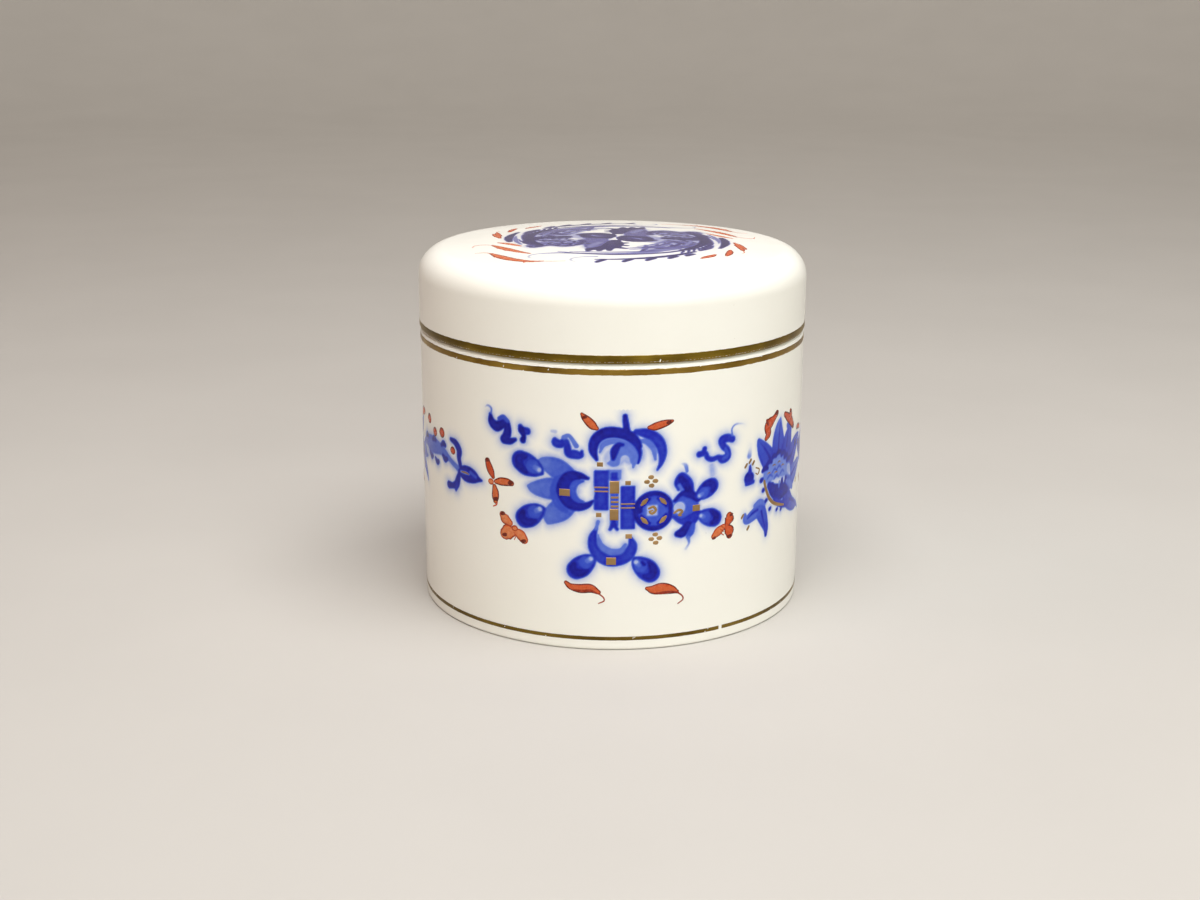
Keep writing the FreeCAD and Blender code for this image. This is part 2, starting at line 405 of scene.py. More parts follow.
# %% Bare biscuit porcelain
def make_biscuit():
    """Unglazed fired porcelain: no shine at all, and a fine sandy grain."""
    finish, tree, skin = new_finish("bare biscuit porcelain")
    grain = mottle(tree, 0.35, 4.0)
    sandy = {SHARE: grain, FROM: linear("#d9cfbb"), TO: linear("#e8e0cf")}
    surface = {
        "Base Color": add(tree, MIX, sandy, data_type="RGBA"),
        "Roughness": 0.78,
        "Normal": add(tree, "ShaderNodeBump", {"Height": grain, "Distance": 0.03 * MM}),
    }
    wire(tree, skin, surface)
    print(f"{finish.name}: {len(tree.nodes)} nodes")
    return finish


BISCUIT = make_biscuit()

# %% [markdown]
# ### Gold
# Gold is painted on as a brown liquid and fired to a thin metal skin. It is metal, so it keeps
# Blender's default IOR and gets its colour from what it mirrors. Brush hairs leave fine streaks
# along the line, and the skin is thicker in some places than in others, which turns it from olive
# to brown. The streaks are drawn a little coarser than real ones, so that they show.

# %% Burnished and matt gold
def make_gilding(name, light, dark, gloss, seed):
    """Fired gold between two tones; gloss is its lowest roughness."""
    finish, tree, skin = new_finish(name)
    hairs = mottle(tree, 0.9, 3.0, stretch=(0.35, 0.35, 7.0), seed=seed)
    thick = mottle(tree, 9.0, 3.0, seed=seed + 2)
    patch = add(tree, MATH, [thick, 1.5, -0.6], operation="MULTIPLY_ADD")
    share = add(tree, MATH, [hairs, 0.6, patch], operation="MULTIPLY_ADD")
    gold = {SHARE: share, FROM: linear(dark), TO: linear(light)}
    ridges = {"Height": hairs, "Distance": 0.012 * MM, "Strength": 0.6}
    sheen = {"Value": hairs, "To Min": gloss, "To Max": gloss + 0.16}
    surface = {
        "Base Color": add(tree, MIX, gold, data_type="RGBA"),
        "Metallic": 1.0,
        "Roughness": add(tree, "ShaderNodeMapRange", sheen),
        "Normal": add(tree, "ShaderNodeBump", ridges),
    }
    wire(tree, skin, surface)
    print(f"{name}: from {dark} to {light}")
    return finish


LID_GILDING = make_gilding("burnished gilding, lid line", "#a08530", "#4c3812", 0.30, 1.0)
CUP_GILDING = make_gilding("burnished gilding, cup lines", "#bd9c48", "#6a4c1a", 0.26, 6.0)
FOOT_GILDING = make_gilding("burnished gilding, foot line", "#8f7636", "#57431d", 0.32, 15.0)
DULL_GOLD = make_gilding("matt gold paint", "#c3a072", "#8f7148", 0.48, 11.0)

# %% [markdown]
# ### Iron red
# Iron red is a coloured glass that stands a little proud of the glaze. It goes from a watery orange
# wash to a dark brick line where it is thick. Two attributes drive it: `tone` says how thick the
# painter laid it, and `crown` is 0 at a stroke's edge and 1 along its middle, because the wet
# colour gathers at the edge and dries darker there.

# %% Iron red enamel
RED_CHART = (
    (0.0, "#dc9f76"), (0.3, "#d0703d"), (0.55, "#c0461a"), (0.8, "#8c290d"), (1.0, "#5a1506"),
)


def make_iron_red():
    """Glassy enamel on the glaze, darker where it is thick."""
    finish, tree, skin = new_finish("iron red enamel")
    tone = add(tree, "ShaderNodeAttribute", attribute_name="tone").outputs["Fac"]
    crown = add(tree, "ShaderNodeAttribute", attribute_name="crown").outputs["Fac"]
    edge = {"Value": crown, "From Min": 0.75, "From Max": 0.1, "To Min": 0.0, "To Max": 0.22}
    rim = add(tree, "ShaderNodeMapRange", edge)
    laid = add(tree, MATH, [tone, rim], operation="ADD")
    wash = add(tree, MATH, [mottle(tree, 0.5, 3.0), 0.34, laid], operation="MULTIPLY_ADD")
    depth = add(tree, MATH, [wash, 0.17], operation="SUBTRACT")
    ripple = {"Value": mottle(tree, 1.0, seed=4.0), "To Min": 0.2, "To Max": 0.34}
    surface = {
        "Base Color": add(tree, "ShaderNodeValToRGB", [depth], stops=RED_CHART),
        "Roughness": add(tree, "ShaderNodeMapRange", ripple),
        "IOR": 1.55,
        "Specular IOR Level": 0.3,
    }
    wire(tree, skin, surface)
    print(f"{finish.name}: {len(RED_CHART)} tones of red")
    return finish


IRON_RED = make_iron_red()

# %% [markdown]
# ## Turning the porcelain
# A potter turns a pot from a profile, and so does this recipe: half the outline is a chain of
# points, and a grid is rolled up so that each row of it follows the chain round the axis. Spin or
# Screw would also do it. A recipe is used because the cup, the lid and the bare rings are all the
# same job with another outline. Roundings are true arcs, and every flat gets an extra point close
# to each end, which keeps smooth shading from bleeding out of the arc into the flat.

# %% A sheet rolled round the axis
def rolled_sheet(tree, rows, steps):
    """A grid to roll round the axis: returns it, each point's row and its turn in radians."""
    columns = add(tree, MATH, [steps, 1], operation="ADD")
    grid = add(tree, "GeometryNodeMeshGrid", {"Vertices X": rows, "Vertices Y": columns})
    index = add(tree, "GeometryNodeInputIndex")
    nudged = add(tree, MATH, [index, 0.5], operation="ADD")  # so that rounding can't lose a row
    rows_before = add(tree, MATH, [nudged, columns], operation="DIVIDE")
    row = add(tree, MATH, [rows_before], operation="FLOOR")
    points_before = add(tree, MATH, [row, columns], operation="MULTIPLY")
    column = add(tree, MATH, [index, points_before], operation="SUBTRACT")
    share = add(tree, MATH, [column, steps], operation="DIVIDE")
    turn = add(tree, MATH, [share, 2 * math.pi], operation="MULTIPLY")
    return grid, row, turn


def roll_up(tree, grid, places, turn, finish):
    """Turns each point from its place to its angle, closes the seam and ends the recipe."""
    rolled = add(
        tree, "ShaderNodeVectorRotate", {"Vector": places, "Angle": turn}, rotation_type="Z_AXIS",
    )
    placed = add(tree, "GeometryNodeSetPosition", {"Geometry": grid, "Position": rolled})
    closed = add(tree, "GeometryNodeMergeByDistance", {0: placed, "Distance": 1e-6})
    finish_recipe(tree, closed, finish)


STEPS = 320  # facets once round, one for each 0.75 mm of the wall
print(f"{STEPS} facets once round, each {2 * math.pi * WALL_RADIUS / STEPS:.2f} mm wide")

# %% The turning recipe
def make_turning_recipe():
    """Rolls a grid up along the chain of points it is given, once round the axis."""
    tree, given = new_recipe("turned on the wheel", Steps=STEPS, Finish=None)
    size = add(tree, "GeometryNodeAttributeDomainSize", [given["Geometry"]])
    grid, row, turn = rolled_sheet(tree, size, given["Steps"])
    place = add(tree, "GeometryNodeInputPosition")
    chain = {"Geometry": given["Geometry"], "Value": place, "Index": row}
    sampled = add(tree, "GeometryNodeSampleIndex", chain, data_type="FLOAT_VECTOR")
    roll_up(tree, grid, sampled, turn, given["Finish"])
    return tree


TURNING = make_turning_recipe()

# %% Arcs and roundings
ARC_STEP = math.radians(9)  # the turn between two points of an arc
SUPPORT = 0.3  # mm from the end of a flat to its extra point
STRIDE = 3.0  # mm, the longest stretch of flat without a point


def arc(centre, radius, start, end, step=ARC_STEP):
    """Points on an arc, as (radius, height) in the outline's plane; angles in radians."""
    count = max(2, math.ceil(abs(end - start) / step) + 1)
    turns = np.linspace(start, end, count)
    return [(centre[0] + radius * math.cos(a), centre[1] + radius * math.sin(a)) for a in turns]


def rounded(corners):
    """Points through (radius, height, rounding) corners, with an arc at each rounding."""
    points = []
    for i, (x, y, rounding) in enumerate(corners):
        if not rounding or i in (0, len(corners) - 1):
            points.append((x, y))
            continue
        here = np.array((x, y))
        back = np.array(corners[i - 1][:2]) - here
        on = np.array(corners[i + 1][:2]) - here
        back, on = back / np.linalg.norm(back), on / np.linalg.norm(on)
        half = math.acos(float(np.clip(back @ on, -1, 1))) / 2
        centre = here + (back + on) / np.linalg.norm(back + on) * rounding / math.sin(half)
        first = here + back * rounding / math.tan(half) - centre
        last = here + on * rounding / math.tan(half) - centre
        start = math.atan2(first[1], first[0])
        sweep = math.remainder(math.atan2(last[1], last[0]) - start, 2 * math.pi)
        points += arc(centre, rounding, start, start + sweep)
    return points


print(f"an arc gets a point every {math.degrees(ARC_STEP):.0f} degrees")

# %% Extra points on the flats
def supported(points):
    """Adds points on long flats: one close to each end and the rest a stride apart."""
    result = [points[0]]
    for a, b in zip(points, points[1:]):
        a, b = np.array(a), np.array(b)
        length = float(np.linalg.norm(b - a))
        if length > 4 * SUPPORT:
            inner = max(2, math.ceil(length / STRIDE))
            shares = np.linspace(SUPPORT / length, 1 - SUPPORT / length, inner)
            result += [tuple(a + (b - a) * share) for share in shares]
        result.append(tuple(b))
    return result


def turned(name, outline, finish):
    """A turned piece from (radius, height) points in mm."""
    chain = line_mesh(name, [(r, 0.0, z) for r, z in outline])
    return shaped(name, chain, (TURNING, {"Steps": STEPS, "Finish": finish}))


sample = supported([(0.0, 0.0), (10.0, 0.0)])
print(f"a flat of 10 mm gets {len(sample) - 2} points between its ends")


# %% [markdown]
# ### The cup
# The outline starts under the floor, goes round the foot ring, up the outside wall, over the ledge
# and the neck, and down inside. The outer sizes are the frame's. The inner ones are the designer's
# thicknesses. The bare foot and seat are cut back by a hair, and thin rings fill them flush.

# %% The cup's sizes
CUP_WALL = 3.2
NECK_WALL = 2.4
NECK_GAP = 0.35  # room for the lid to slip over the neck
LID_WALL = 3.0
FOOT_WIDTH = 3.2
FOOT_RECESS = 1.6
FLOOR_TOP = 4.8
LEDGE_UNDER = SEAM - 3.2  # height where the inside starts to widen below the neck
SLOPE_START = LEDGE_UNDER - 3.0
INNER_ROUNDING, FLOOR_ROUNDING = 1.2, 4.0

NECK_RADIUS = LID_RADIUS - LID_WALL - NECK_GAP
NECK_BORE = NECK_RADIUS - NECK_WALL
CUP_BORE = WALL_RADIUS - CUP_WALL
FOOT_BORE = WALL_RADIUS - FOOT_WIDTH
FOOT_EDGE, LEDGE_EDGE, NECK_EDGE, ROOT_EDGE = 0.5, 0.9, 0.8, 0.5

print(f"neck radius {NECK_RADIUS:.2f}, inside of the cup {CUP_BORE:.2f} mm")

# %% The cup's porcelain
cup_outline = [
    (0.0, FOOT_RECESS, 0),
    (FOOT_BORE, FOOT_RECESS, 0.4),
    (FOOT_BORE, BARE, FOOT_EDGE),
    (WALL_RADIUS, BARE, FOOT_EDGE),
    (WALL_RADIUS, SEAM - BARE, LEDGE_EDGE),
    (NECK_RADIUS, SEAM - BARE, ROOT_EDGE),
    (NECK_RADIUS, NECK_TOP, NECK_EDGE),
    (NECK_BORE, NECK_TOP, NECK_EDGE),
    (NECK_BORE, LEDGE_UNDER, INNER_ROUNDING),
    (CUP_BORE, SLOPE_START, INNER_ROUNDING),
    (CUP_BORE, FLOOR_TOP, FLOOR_ROUNDING),
    (0.0, FLOOR_TOP, 0),
]
cup = turned("cup_porcelain", supported(rounded(cup_outline)), PORCELAIN)
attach(cup, "cup")
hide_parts("cup")

# %% [markdown]
# ### The lid
# The lid is a cap with an even wall: the inside is the same line as the outside, set in by the
# wall. Its top is part of a very large sphere, its shoulder an arc that meets the sphere without a
# corner, and its side is straight. The two arcs touch where the line through their centres cuts
# them, and that is all the geometry it needs.

# %% The lid's line
SHOULDER = 5.4  # radius of the arc from the side to the top
DOME_RADIUS = 378.0
DOME_STEP = 1.2  # mm between two points of the top
RIM_EDGE, MOUTH_EDGE = 0.7, 0.6


def cap(inset):
    """The cap's line from its side to its crown, as points, set in by inset mm."""
    side, shoulder = LID_RADIUS - inset, SHOULDER - inset
    dome, top = DOME_RADIUS - inset, CROWN - inset
    reach = side - shoulder
    rise = math.sqrt((dome - shoulder) ** 2 - reach**2)
    tangent = math.atan2(rise, reach)
    bend = arc((reach, top - dome + rise), shoulder, 0.0, tangent, ARC_STEP / 2)
    crown = arc((0.0, top - dome), dome, tangent, math.pi / 2, DOME_STEP / dome)
    crown[-1] = (0.0, top)
    return bend + crown[1:]


inside, outside = cap(LID_WALL), cap(FILM)
print(f"inside line {len(inside)} points, outside line {len(outside)} points")

# %% The lid's porcelain
lid_bore = LID_RADIUS - LID_WALL
rim_line = rounded(
    [
        (lid_bore, SEAM + MOUTH_EDGE, 0),
        (lid_bore + MOUTH_EDGE, SEAM + BARE, 0.2),
        (LID_RADIUS - FILM, SEAM + BARE, RIM_EDGE),
        outside[0] + (0,),
    ]
)
lid_outline = supported(inside[::-1] + rim_line) + outside[1:]
lid = turned("lid_porcelain", lid_outline, LID_PORCELAIN)
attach(lid, "lid")
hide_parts("lid")

# %% [markdown]
# ### Bare rings
# Three narrow rings are left without glaze: under the foot, on the seat and under the lid's rim.
# They could be faces of the porcelain with another material. Thin rings of their own were chosen,
# because each can then carry its own finish and ends exactly where the glaze was wiped off.

# %% Bare rings
RING_DEPTH = 0.3


def bare_ring(name, body, inner, outer, low, high):
    """A thin unglazed ring with softened edges, flush with the frame."""
    soft = 0.3 * min(high - low, outer - inner)
    corners = [(inner, low, soft), (outer, low, soft), (outer, high, soft), (inner, high, soft)]
    middle_of_side = (inner, (low + high) / 2, 0)
    ring = turned(name, rounded([middle_of_side] + corners + [middle_of_side]), BISCUIT)
    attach(ring, body)
    return ring


for name, body, inner, outer, low in (
    ("foot_bare_ring", "cup", FOOT_BORE + FOOT_EDGE, WALL_RADIUS - FOOT_EDGE, 0.0),
    ("seat_bare_ring", "cup", NECK_RADIUS + ROOT_EDGE, WALL_RADIUS - LEDGE_EDGE, SEAM - RING_DEPTH),
    ("lid_rim_bare_ring", "lid", lid_bore + MOUTH_EDGE, LID_RADIUS - RIM_EDGE, SEAM),
):
    bare_ring(name, body, inner, outer, low, low + RING_DEPTH)

# %% [markdown]
# ## Gilt lines
# A gilt line is laid while the pot turns on a small wheel and the brush is held still, so it is
# nearly perfect, with tiny wavers where the brush lifts, and specks where use has rubbed the gold
# away. The recipe rolls a thin lens-shaped ring round the axis. Its width follows a stretch of the
# outline, so the line can wrap over a rounded edge. Where the gold is worn or the line is broken,
# the film sinks into the glaze and disappears, which keeps the ring a closed solid.

# %% Noise that runs round a line
def noise_round(tree, turn):
    """Returns a function that adds noise on a circle, so that the line meets itself again."""
    circle = {
        "X": add(tree, MATH, [turn], operation="COSINE"),
        "Y": add(tree, MATH, [turn], operation="SINE"),
    }
    side = add(tree, "ShaderNodeCombineXYZ", circle)

    def along(scale, lift, detail=3.0):
        """Noise at this scale; lift moves it to another part of the noise."""
        wide = add(tree, "ShaderNodeVectorMath", {0: side, "Scale": scale}, operation="SCALE")
        up = add(tree, "ShaderNodeCombineXYZ", {"Z": lift})
        place = add(tree, "ShaderNodeVectorMath", [wide, up], operation="ADD")
        return add(tree, "ShaderNodeTexNoise", {"Vector": place, "Scale": 1.0, "Detail": detail})

    return along


LOW_WAVER, HIGH_WAVER, WEAR_SCALE = 22.0, 26.0, 60.0  # noise scales on a circle of radius 1
for what, scale in (("wavers", LOW_WAVER), ("worn specks", WEAR_SCALE)):
    print(f"{what} are about {WALL_RADIUS / scale:.1f} mm apart")

# %% The film's section, and where it is gone
def film_section(tree, lap):
    """Height of the film over its width, there and back: full on top and flatter below."""
    swell = add(tree, MATH, [lap], operation="SINE")
    upper = add(tree, MATH, [swell, 0.0], operation="MAXIMUM")
    top = add(tree, MATH, [upper, 0.5], operation="POWER")
    lower = add(tree, MATH, [swell, 0.0], operation="MINIMUM")
    return add(tree, MATH, [lower, 0.6, top], operation="MULTIPLY_ADD")


def gone(tree, given, turn, share, along):
    """1 where the gold is rubbed off or the line is broken, and 0 elsewhere."""
    elsewhere = add(tree, MATH, [share, 2.4, given["Seed"]], operation="MULTIPLY_ADD")
    rubbed = along(WEAR_SCALE, elsewhere, 2.0)
    worn = add(tree, MATH, [rubbed, given["Wear"]], operation="LESS_THAN")
    past_break = add(tree, MATH, [turn, given["Break"]], operation="SUBTRACT")
    nearness = add(tree, MATH, [past_break], operation="COSINE")
    limit = add(tree, MATH, [given["Gap"]], operation="COSINE")
    broken = add(tree, MATH, [nearness, limit], operation="GREATER_THAN")
    return add(tree, MATH, [worn, broken], operation="MAXIMUM")


GONE_DEPTH = 3.0  # how far worn gold sinks under the glaze, in thicknesses of the film
print(f"worn gold lies {GONE_DEPTH:.0f} film thicknesses deep")

# %% The gilt line recipe
def make_gilt_recipe():
    """Rolls a thin lens-shaped ring of gold round the axis, over the stretch it is given."""
    tree, given = new_recipe(
        "gilt line", Steps=1500, Rows=15, Film=FILM * MM, Waver=0.08, Wear=0.22,
        Seed=0.0, Break=0.0, Gap=0.0, Finish=None,
    )
    path = add(tree, "GeometryNodeMeshToCurve", [given["Geometry"]])
    grid, row, turn = rolled_sheet(tree, given["Rows"], given["Steps"])
    last_row = add(tree, MATH, [given["Rows"], 1], operation="SUBTRACT")
    way = add(tree, MATH, [row, last_row], operation="DIVIDE")
    lap = add(tree, MATH, [way, 2 * math.pi], operation="MULTIPLY")
    there_and_back = add(tree, MATH, [lap], operation="COSINE")
    share = add(tree, MATH, [there_and_back, -0.5, 0.5], operation="MULTIPLY_ADD")

    along = noise_round(tree, turn)
    other = add(tree, MATH, [given["Seed"], 5.0], operation="ADD")
    lower, upper = along(LOW_WAVER, given["Seed"]), along(HIGH_WAVER, other)
    low = add(tree, MATH, [lower, given["Waver"]], operation="MULTIPLY")
    short_by = add(tree, MATH, [upper, given["Waver"]], operation="MULTIPLY")
    high = add(tree, MATH, [1.0, short_by], operation="SUBTRACT")
    span = add(tree, MATH, [high, low], operation="SUBTRACT")
    factor = add(tree, MATH, [share, span, low], operation="MULTIPLY_ADD")
    sampled = add(tree, "GeometryNodeSampleCurve", {0: path, "Factor": factor}, data_type="FLOAT")
    position, tangent = sampled.outputs["Position"], sampled.outputs["Tangent"]
    outward = add(tree, "ShaderNodeVectorMath", [(0, 1, 0), tangent], operation="CROSS_PRODUCT")

    lost = gone(tree, given, turn, share, along)
    section = film_section(tree, lap)
    height = add(tree, MATH, [lost, -GONE_DEPTH, section], operation="MULTIPLY_ADD")
    lift = add(tree, MATH, [height, given["Film"]], operation="MULTIPLY")
    raised = add(tree, "ShaderNodeVectorMath", {0: outward, "Scale": lift}, operation="SCALE")
    laid = add(tree, "ShaderNodeVectorMath", [position, raised], operation="ADD")
    roll_up(tree, grid, laid, turn, given["Finish"])
    return tree


GILT_LINE = make_gilt_recipe()

# %% [markdown]
# The lid's line wraps over the rim, the cup's over the ledge, and the foot's is thin and lies a
# little above the floor. It has a gap of a fraction of a millimetre where the brush was lifted.

# %% The three gilt lines
LID_LINE_TOP = 56.34
CUP_LINE_LOW = 52.42
FOOT_LINE_LOW, FOOT_LINE_TOP = 1.91, 2.75
BREAK_AT, BREAK_HALF = 21.7, 0.35  # mm round the wall from the front, and half the gap


def gilt_line(name, body, stretch, finish, **settings):
    """A gilt line along (radius, height) points in mm, lowest first."""
    chain = line_mesh(name, [(r, 0.0, z) for r, z in stretch])
    line = shaped(name, chain, (GILT_LINE, {"Film": 0.8 * FILM * MM, "Finish": finish, **settings}))
    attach(line, body)
    return line


rim_centre = (LID_RADIUS - FILM - RIM_EDGE, SEAM + BARE + RIM_EDGE)
lid_stretch = arc(rim_centre, RIM_EDGE, -1.2, 0.0) + [(LID_RADIUS - FILM, LID_LINE_TOP)]
gilt_line("lid_gilt_line", "lid", lid_stretch, LID_GILDING, Seed=3.0, Waver=0.1, Wear=0.2)

ledge_centre = (WALL_RADIUS - LEDGE_EDGE, SEAM - BARE - LEDGE_EDGE)
cup_stretch = [(WALL_RADIUS, CUP_LINE_LOW)] + arc(ledge_centre, LEDGE_EDGE, 0.0, 0.26)
gilt_line("cup_gilt_line", "cup", cup_stretch, CUP_GILDING, Seed=11.0, Waver=0.22, Wear=0.27)

foot_stretch = [(WALL_RADIUS, FOOT_LINE_LOW), (WALL_RADIUS, FOOT_LINE_TOP)]
foot_break = 1.5 * math.pi + BREAK_AT / WALL_RADIUS
gilt_line(
    "foot_gilt_line", "cup", foot_stretch, FOOT_GILDING, Seed=17.0, Waver=0.12, Wear=0.28,
    Break=foot_break, Gap=BREAK_HALF / WALL_RADIUS,
)

# %% [markdown]
# ## How the cobalt is painted
# The decorator loads a brush with cobalt and water and draws each leaf in one pull: the stroke
# swells and narrows, its edge softens as the glaze melts over it, pigment pools along the edge,
# and a faint blue haze spreads round it. The painting could be a picture wrapped on the wall. Here
# it is brushed on a flat sheet of close points: each stroke is a smooth line through a few points
# with a half width, and what it leaves on each point is worked out from the distance to that line.
# The amount ends up in the attribute `cobalt`, which the porcelain finish reads.

# %% A brush stroke
THINNEST = 0.05  # mm, half the width of the finest hair line


def smooth_line(points, step=0.12):
    """Close points on a smooth line through brush points (x, y, half width), all in mm."""
    knots = np.array(points, dtype=float)
    if len(knots) == 1:
        return knots
    ends = np.vstack((2 * knots[0] - knots[1], knots, 2 * knots[-1] - knots[-2]))
    pulls = []
    for a, b, c, d in zip(ends, ends[1:], ends[2:], ends[3:]):
        count = max(2, int(np.hypot(*(c - b)[:2]) / step))
        t = np.linspace(0, 1, count, endpoint=False)[:, None]
        bend, twist = 2 * a - 5 * b + 4 * c - d, 3 * b - a - 3 * c + d
        pulls.append(0.5 * (2 * b + (c - a) * t + bend * t**2 + twist * t**3))
    line = np.vstack(pulls + [knots[-1:]])
    line[:, 2] = np.maximum(line[:, 2], THINNEST)
    return line


sample = smooth_line([(0, 0, 0.5), (5, 1, 1), (10, 0, 0.5)])
print(f"a curved stroke 10 mm long is followed at {len(sample)} points")

# %% What a stroke leaves on a sheet
HAZE_REACH = 1.5  # mm over which the haze fades to about a third
POOLING = 0.1  # how much paler the middle of a stroke dries than its edge


class Layers:
    """The points of a flat sheet, in mm, with the cobalt laid on each and the haze round it."""

    def __init__(self, x, y):
        self.x, self.y = x, y
        self.laid = np.zeros_like(x)
        self.haze = np.zeros_like(x)

    def lay(self, tone, near, gap, soft, haze):
        """Lays a tone where the gap to the stroke's edge is negative, with a soft edge."""
        cover = np.clip(0.5 - gap / soft, 0, 1)
        cover = cover * cover * (3 - 2 * cover)
        pooled = tone * (1 - POOLING * np.clip(-gap, 0, 1))
        self.laid[near] += (pooled - self.laid[near]) * cover
        spread = haze * np.exp(-np.clip(gap, 0, None) / HAZE_REACH)
        self.haze[near] = np.maximum(self.haze[near], spread)

    def cobalt(self):
        """What the porcelain finish reads, from 0 to 1."""
        return np.maximum(self.laid, self.haze)

    def tell(self, what):
        """Prints how much of the sheet carries cobalt so far."""
        print(f"{what}: cobalt on {np.mean(self.laid > 0.1):.1%} of the sheet")


print(f"the haze fades to a third over {HAZE_REACH} mm")

# %% [markdown]
# The box repeats its motifs, so a sheet knows how. Each stroke is laid once for every repeat, and
# only the points near it are worked out, which keeps a sheet of many thousand points quick.

# %% A sheet to paint on
HAZE_MARGIN, PLAIN_MARGIN = 4.0, 0.6  # mm round a stroke that is worked out
BLOCK_ROUNDING = 0.3


class Sheet(Layers):
    """A sheet to brush on.

    images lists how a motif repeats: (sign, shift) puts x at sign * x + shift and y at sign * y.
    """

    def __init__(self, x, y, images):
        super().__init__(x, y)
        self.images = images

    def brush(self, tone, *points, soft=0.55, haze=0.24):
        """One pull of the brush; tone is one number, or a pair from start to end."""
        first, last = tone if isinstance(tone, tuple) else (tone, tone)
        for sign, shift in self.images:
            line = smooth_line(points)
            line[:, 0] = sign * line[:, 0] + shift
            line[:, 1] *= sign
            margin = line[:, 2].max() + (HAZE_MARGIN if haze else PLAIN_MARGIN)
            low, high = line[:, :2].min(0) - margin, line[:, :2].max(0) + margin
            near = (self.x > low[0]) & (self.x < high[0]) & (self.y > low[1]) & (self.y < high[1])
            if not near.any():
                continue
            dx = self.x[near][:, None] - line[:, 0]
            dy = self.y[near][:, None] - line[:, 1]
            gaps = np.hypot(dx, dy) - line[:, 2]
            along = gaps.argmin(1)
            share = along / max(1, len(line) - 1)
            self.lay(first + (last - first) * share, near, gaps.min(1), soft, haze)

    def block(self, tone, x, y, half_x, half_y, soft=0.55, haze=0.24):
        """A small upright block with slightly rounded corners."""
        for sign, shift in self.images:
            dx = np.abs(self.x - sign * x - shift) - half_x + BLOCK_ROUNDING
            dy = np.abs(self.y - sign * y) - half_y + BLOCK_ROUNDING
            near = np.maximum(dx, dy) < HAZE_MARGIN + BLOCK_ROUNDING
            dx, dy = dx[near], dy[near]
            outside = np.hypot(np.maximum(dx, 0), np.maximum(dy, 0))
            gap = outside + np.minimum(np.maximum(dx, dy), 0) - BLOCK_ROUNDING
            self.lay(tone, near, gap, soft, haze)


print(f"a stroke's haze is worked out up to {HAZE_MARGIN} mm from it")

# %% [markdown]
# ### Red and gold on top
# The iron red and the gold are painted last, over the fired glaze, so they stand on it as thin
# films that can be felt with a fingertip. Each stroke starts as a chain of edges with three
# attributes: half_width, tone and lift, for what lies over what. The recipe sweeps a circle along
# it, presses it flat to a film and records how high each point stands in `crown`. A second recipe
# bends the flat painting on to the wall or settles it on the lid's dome, and turns a copy of it
# half way round, because the box is painted with the same motif on both sides.

# %% The painted film recipe
ATTRIBUTE = "GeometryNodeInputNamedAttribute"
SUNK = 0.00001  # metres that a film's underside lies in the glaze


def make_film_recipe():
    """Sweeps a circle along chains of edges and presses the tube flat to a film."""
    tree, given = new_recipe("painted film", Film=FILM * MM, Sides=10, Finish=None)
    width = add(tree, ATTRIBUTE, {"Name": "half_width"}, data_type="FLOAT")
    path = add(tree, "GeometryNodeMeshToCurve", [given["Geometry"]])
    upright = add(tree, "GeometryNodeSetCurveNormal", [path], mode="Z_UP")
    unit_circle = {"Resolution": given["Sides"], "Radius": 1.0}
    brush = add(tree, "GeometryNodeCurvePrimitiveCircle", unit_circle)
    sweep = {0: upright, 1: brush, "Scale": width, "Fill Caps": True}
    tube = add(tree, "GeometryNodeCurveToMesh", sweep)
    place = add(tree, "ShaderNodeSeparateXYZ", [add(tree, "GeometryNodeInputPosition")]).outputs
    swell = add(tree, MATH, [place[2], width], operation="DIVIDE")
    kept = {"Geometry": tube, "Name": "crown", "Value": swell}
    marked = add(tree, "GeometryNodeStoreNamedAttribute", kept, data_type="FLOAT")

    crown = add(tree, ATTRIBUTE, {"Name": "crown"}, data_type="FLOAT")
    lift = add(tree, ATTRIBUTE, {"Name": "lift"}, data_type="FLOAT")
    above = add(tree, MATH, [crown, -0.01], operation="GREATER_THAN")
    upper = add(tree, MATH, [crown, 0.0], operation="MAXIMUM")
    high = add(tree, MATH, [upper, given["Film"], lift], operation="MULTIPLY_ADD")
    clear = add(tree, MATH, [high, SUNK], operation="ADD")
    level = add(tree, MATH, [above, clear, -SUNK], operation="MULTIPLY_ADD")
    flat = add(tree, "ShaderNodeCombineXYZ", [place[0], place[1], level])
    pressed = add(tree, "GeometryNodeSetPosition", {"Geometry": marked, "Position": flat})
    finish_recipe(tree, pressed, given["Finish"])
    return tree


PAINTED_FILM = make_film_recipe()

# %% [markdown]
# Flat work still has to reach the box. Shrinkwrap would move each point to the nearest surface and
# squeeze what it carries. The wall is a plain cylinder and the lid's top part of a sphere, so two
# short formulas put every point exactly where it belongs and keep the film's thickness.

# %% Recipes that bend flat work
def make_bending_recipe(name, place_on, **sizes):
    """Moves flat work to where place_on says, and turns a copy half way round if Twice is 1."""
    tree, given = new_recipe(name, Twice=0, Turned=0.0, Finish=None, **sizes)
    flat = add(tree, "ShaderNodeSeparateXYZ", [add(tree, "GeometryNodeInputPosition")]).outputs
    moved = {"Geometry": given["Geometry"], "Position": place_on(tree, given, flat)}
    bent = add(tree, "GeometryNodeSetPosition", moved)
    swing = add(tree, "ShaderNodeCombineXYZ", {"Z": given["Turned"]})
    first = add(tree, "GeometryNodeTransform", {0: bent, "Rotation": swing})
    second = add(tree, "GeometryNodeTransform", {0: first, "Rotation": (0, 0, math.pi)})
    wanted = add(tree, "GeometryNodeSwitch", {0: given["Twice"], 2: second}, input_type="GEOMETRY")
    both = add(tree, "GeometryNodeJoinGeometry", [first])
    wire(tree, both, [wanted])
    finish_recipe(tree, both, given["Finish"])
    return tree


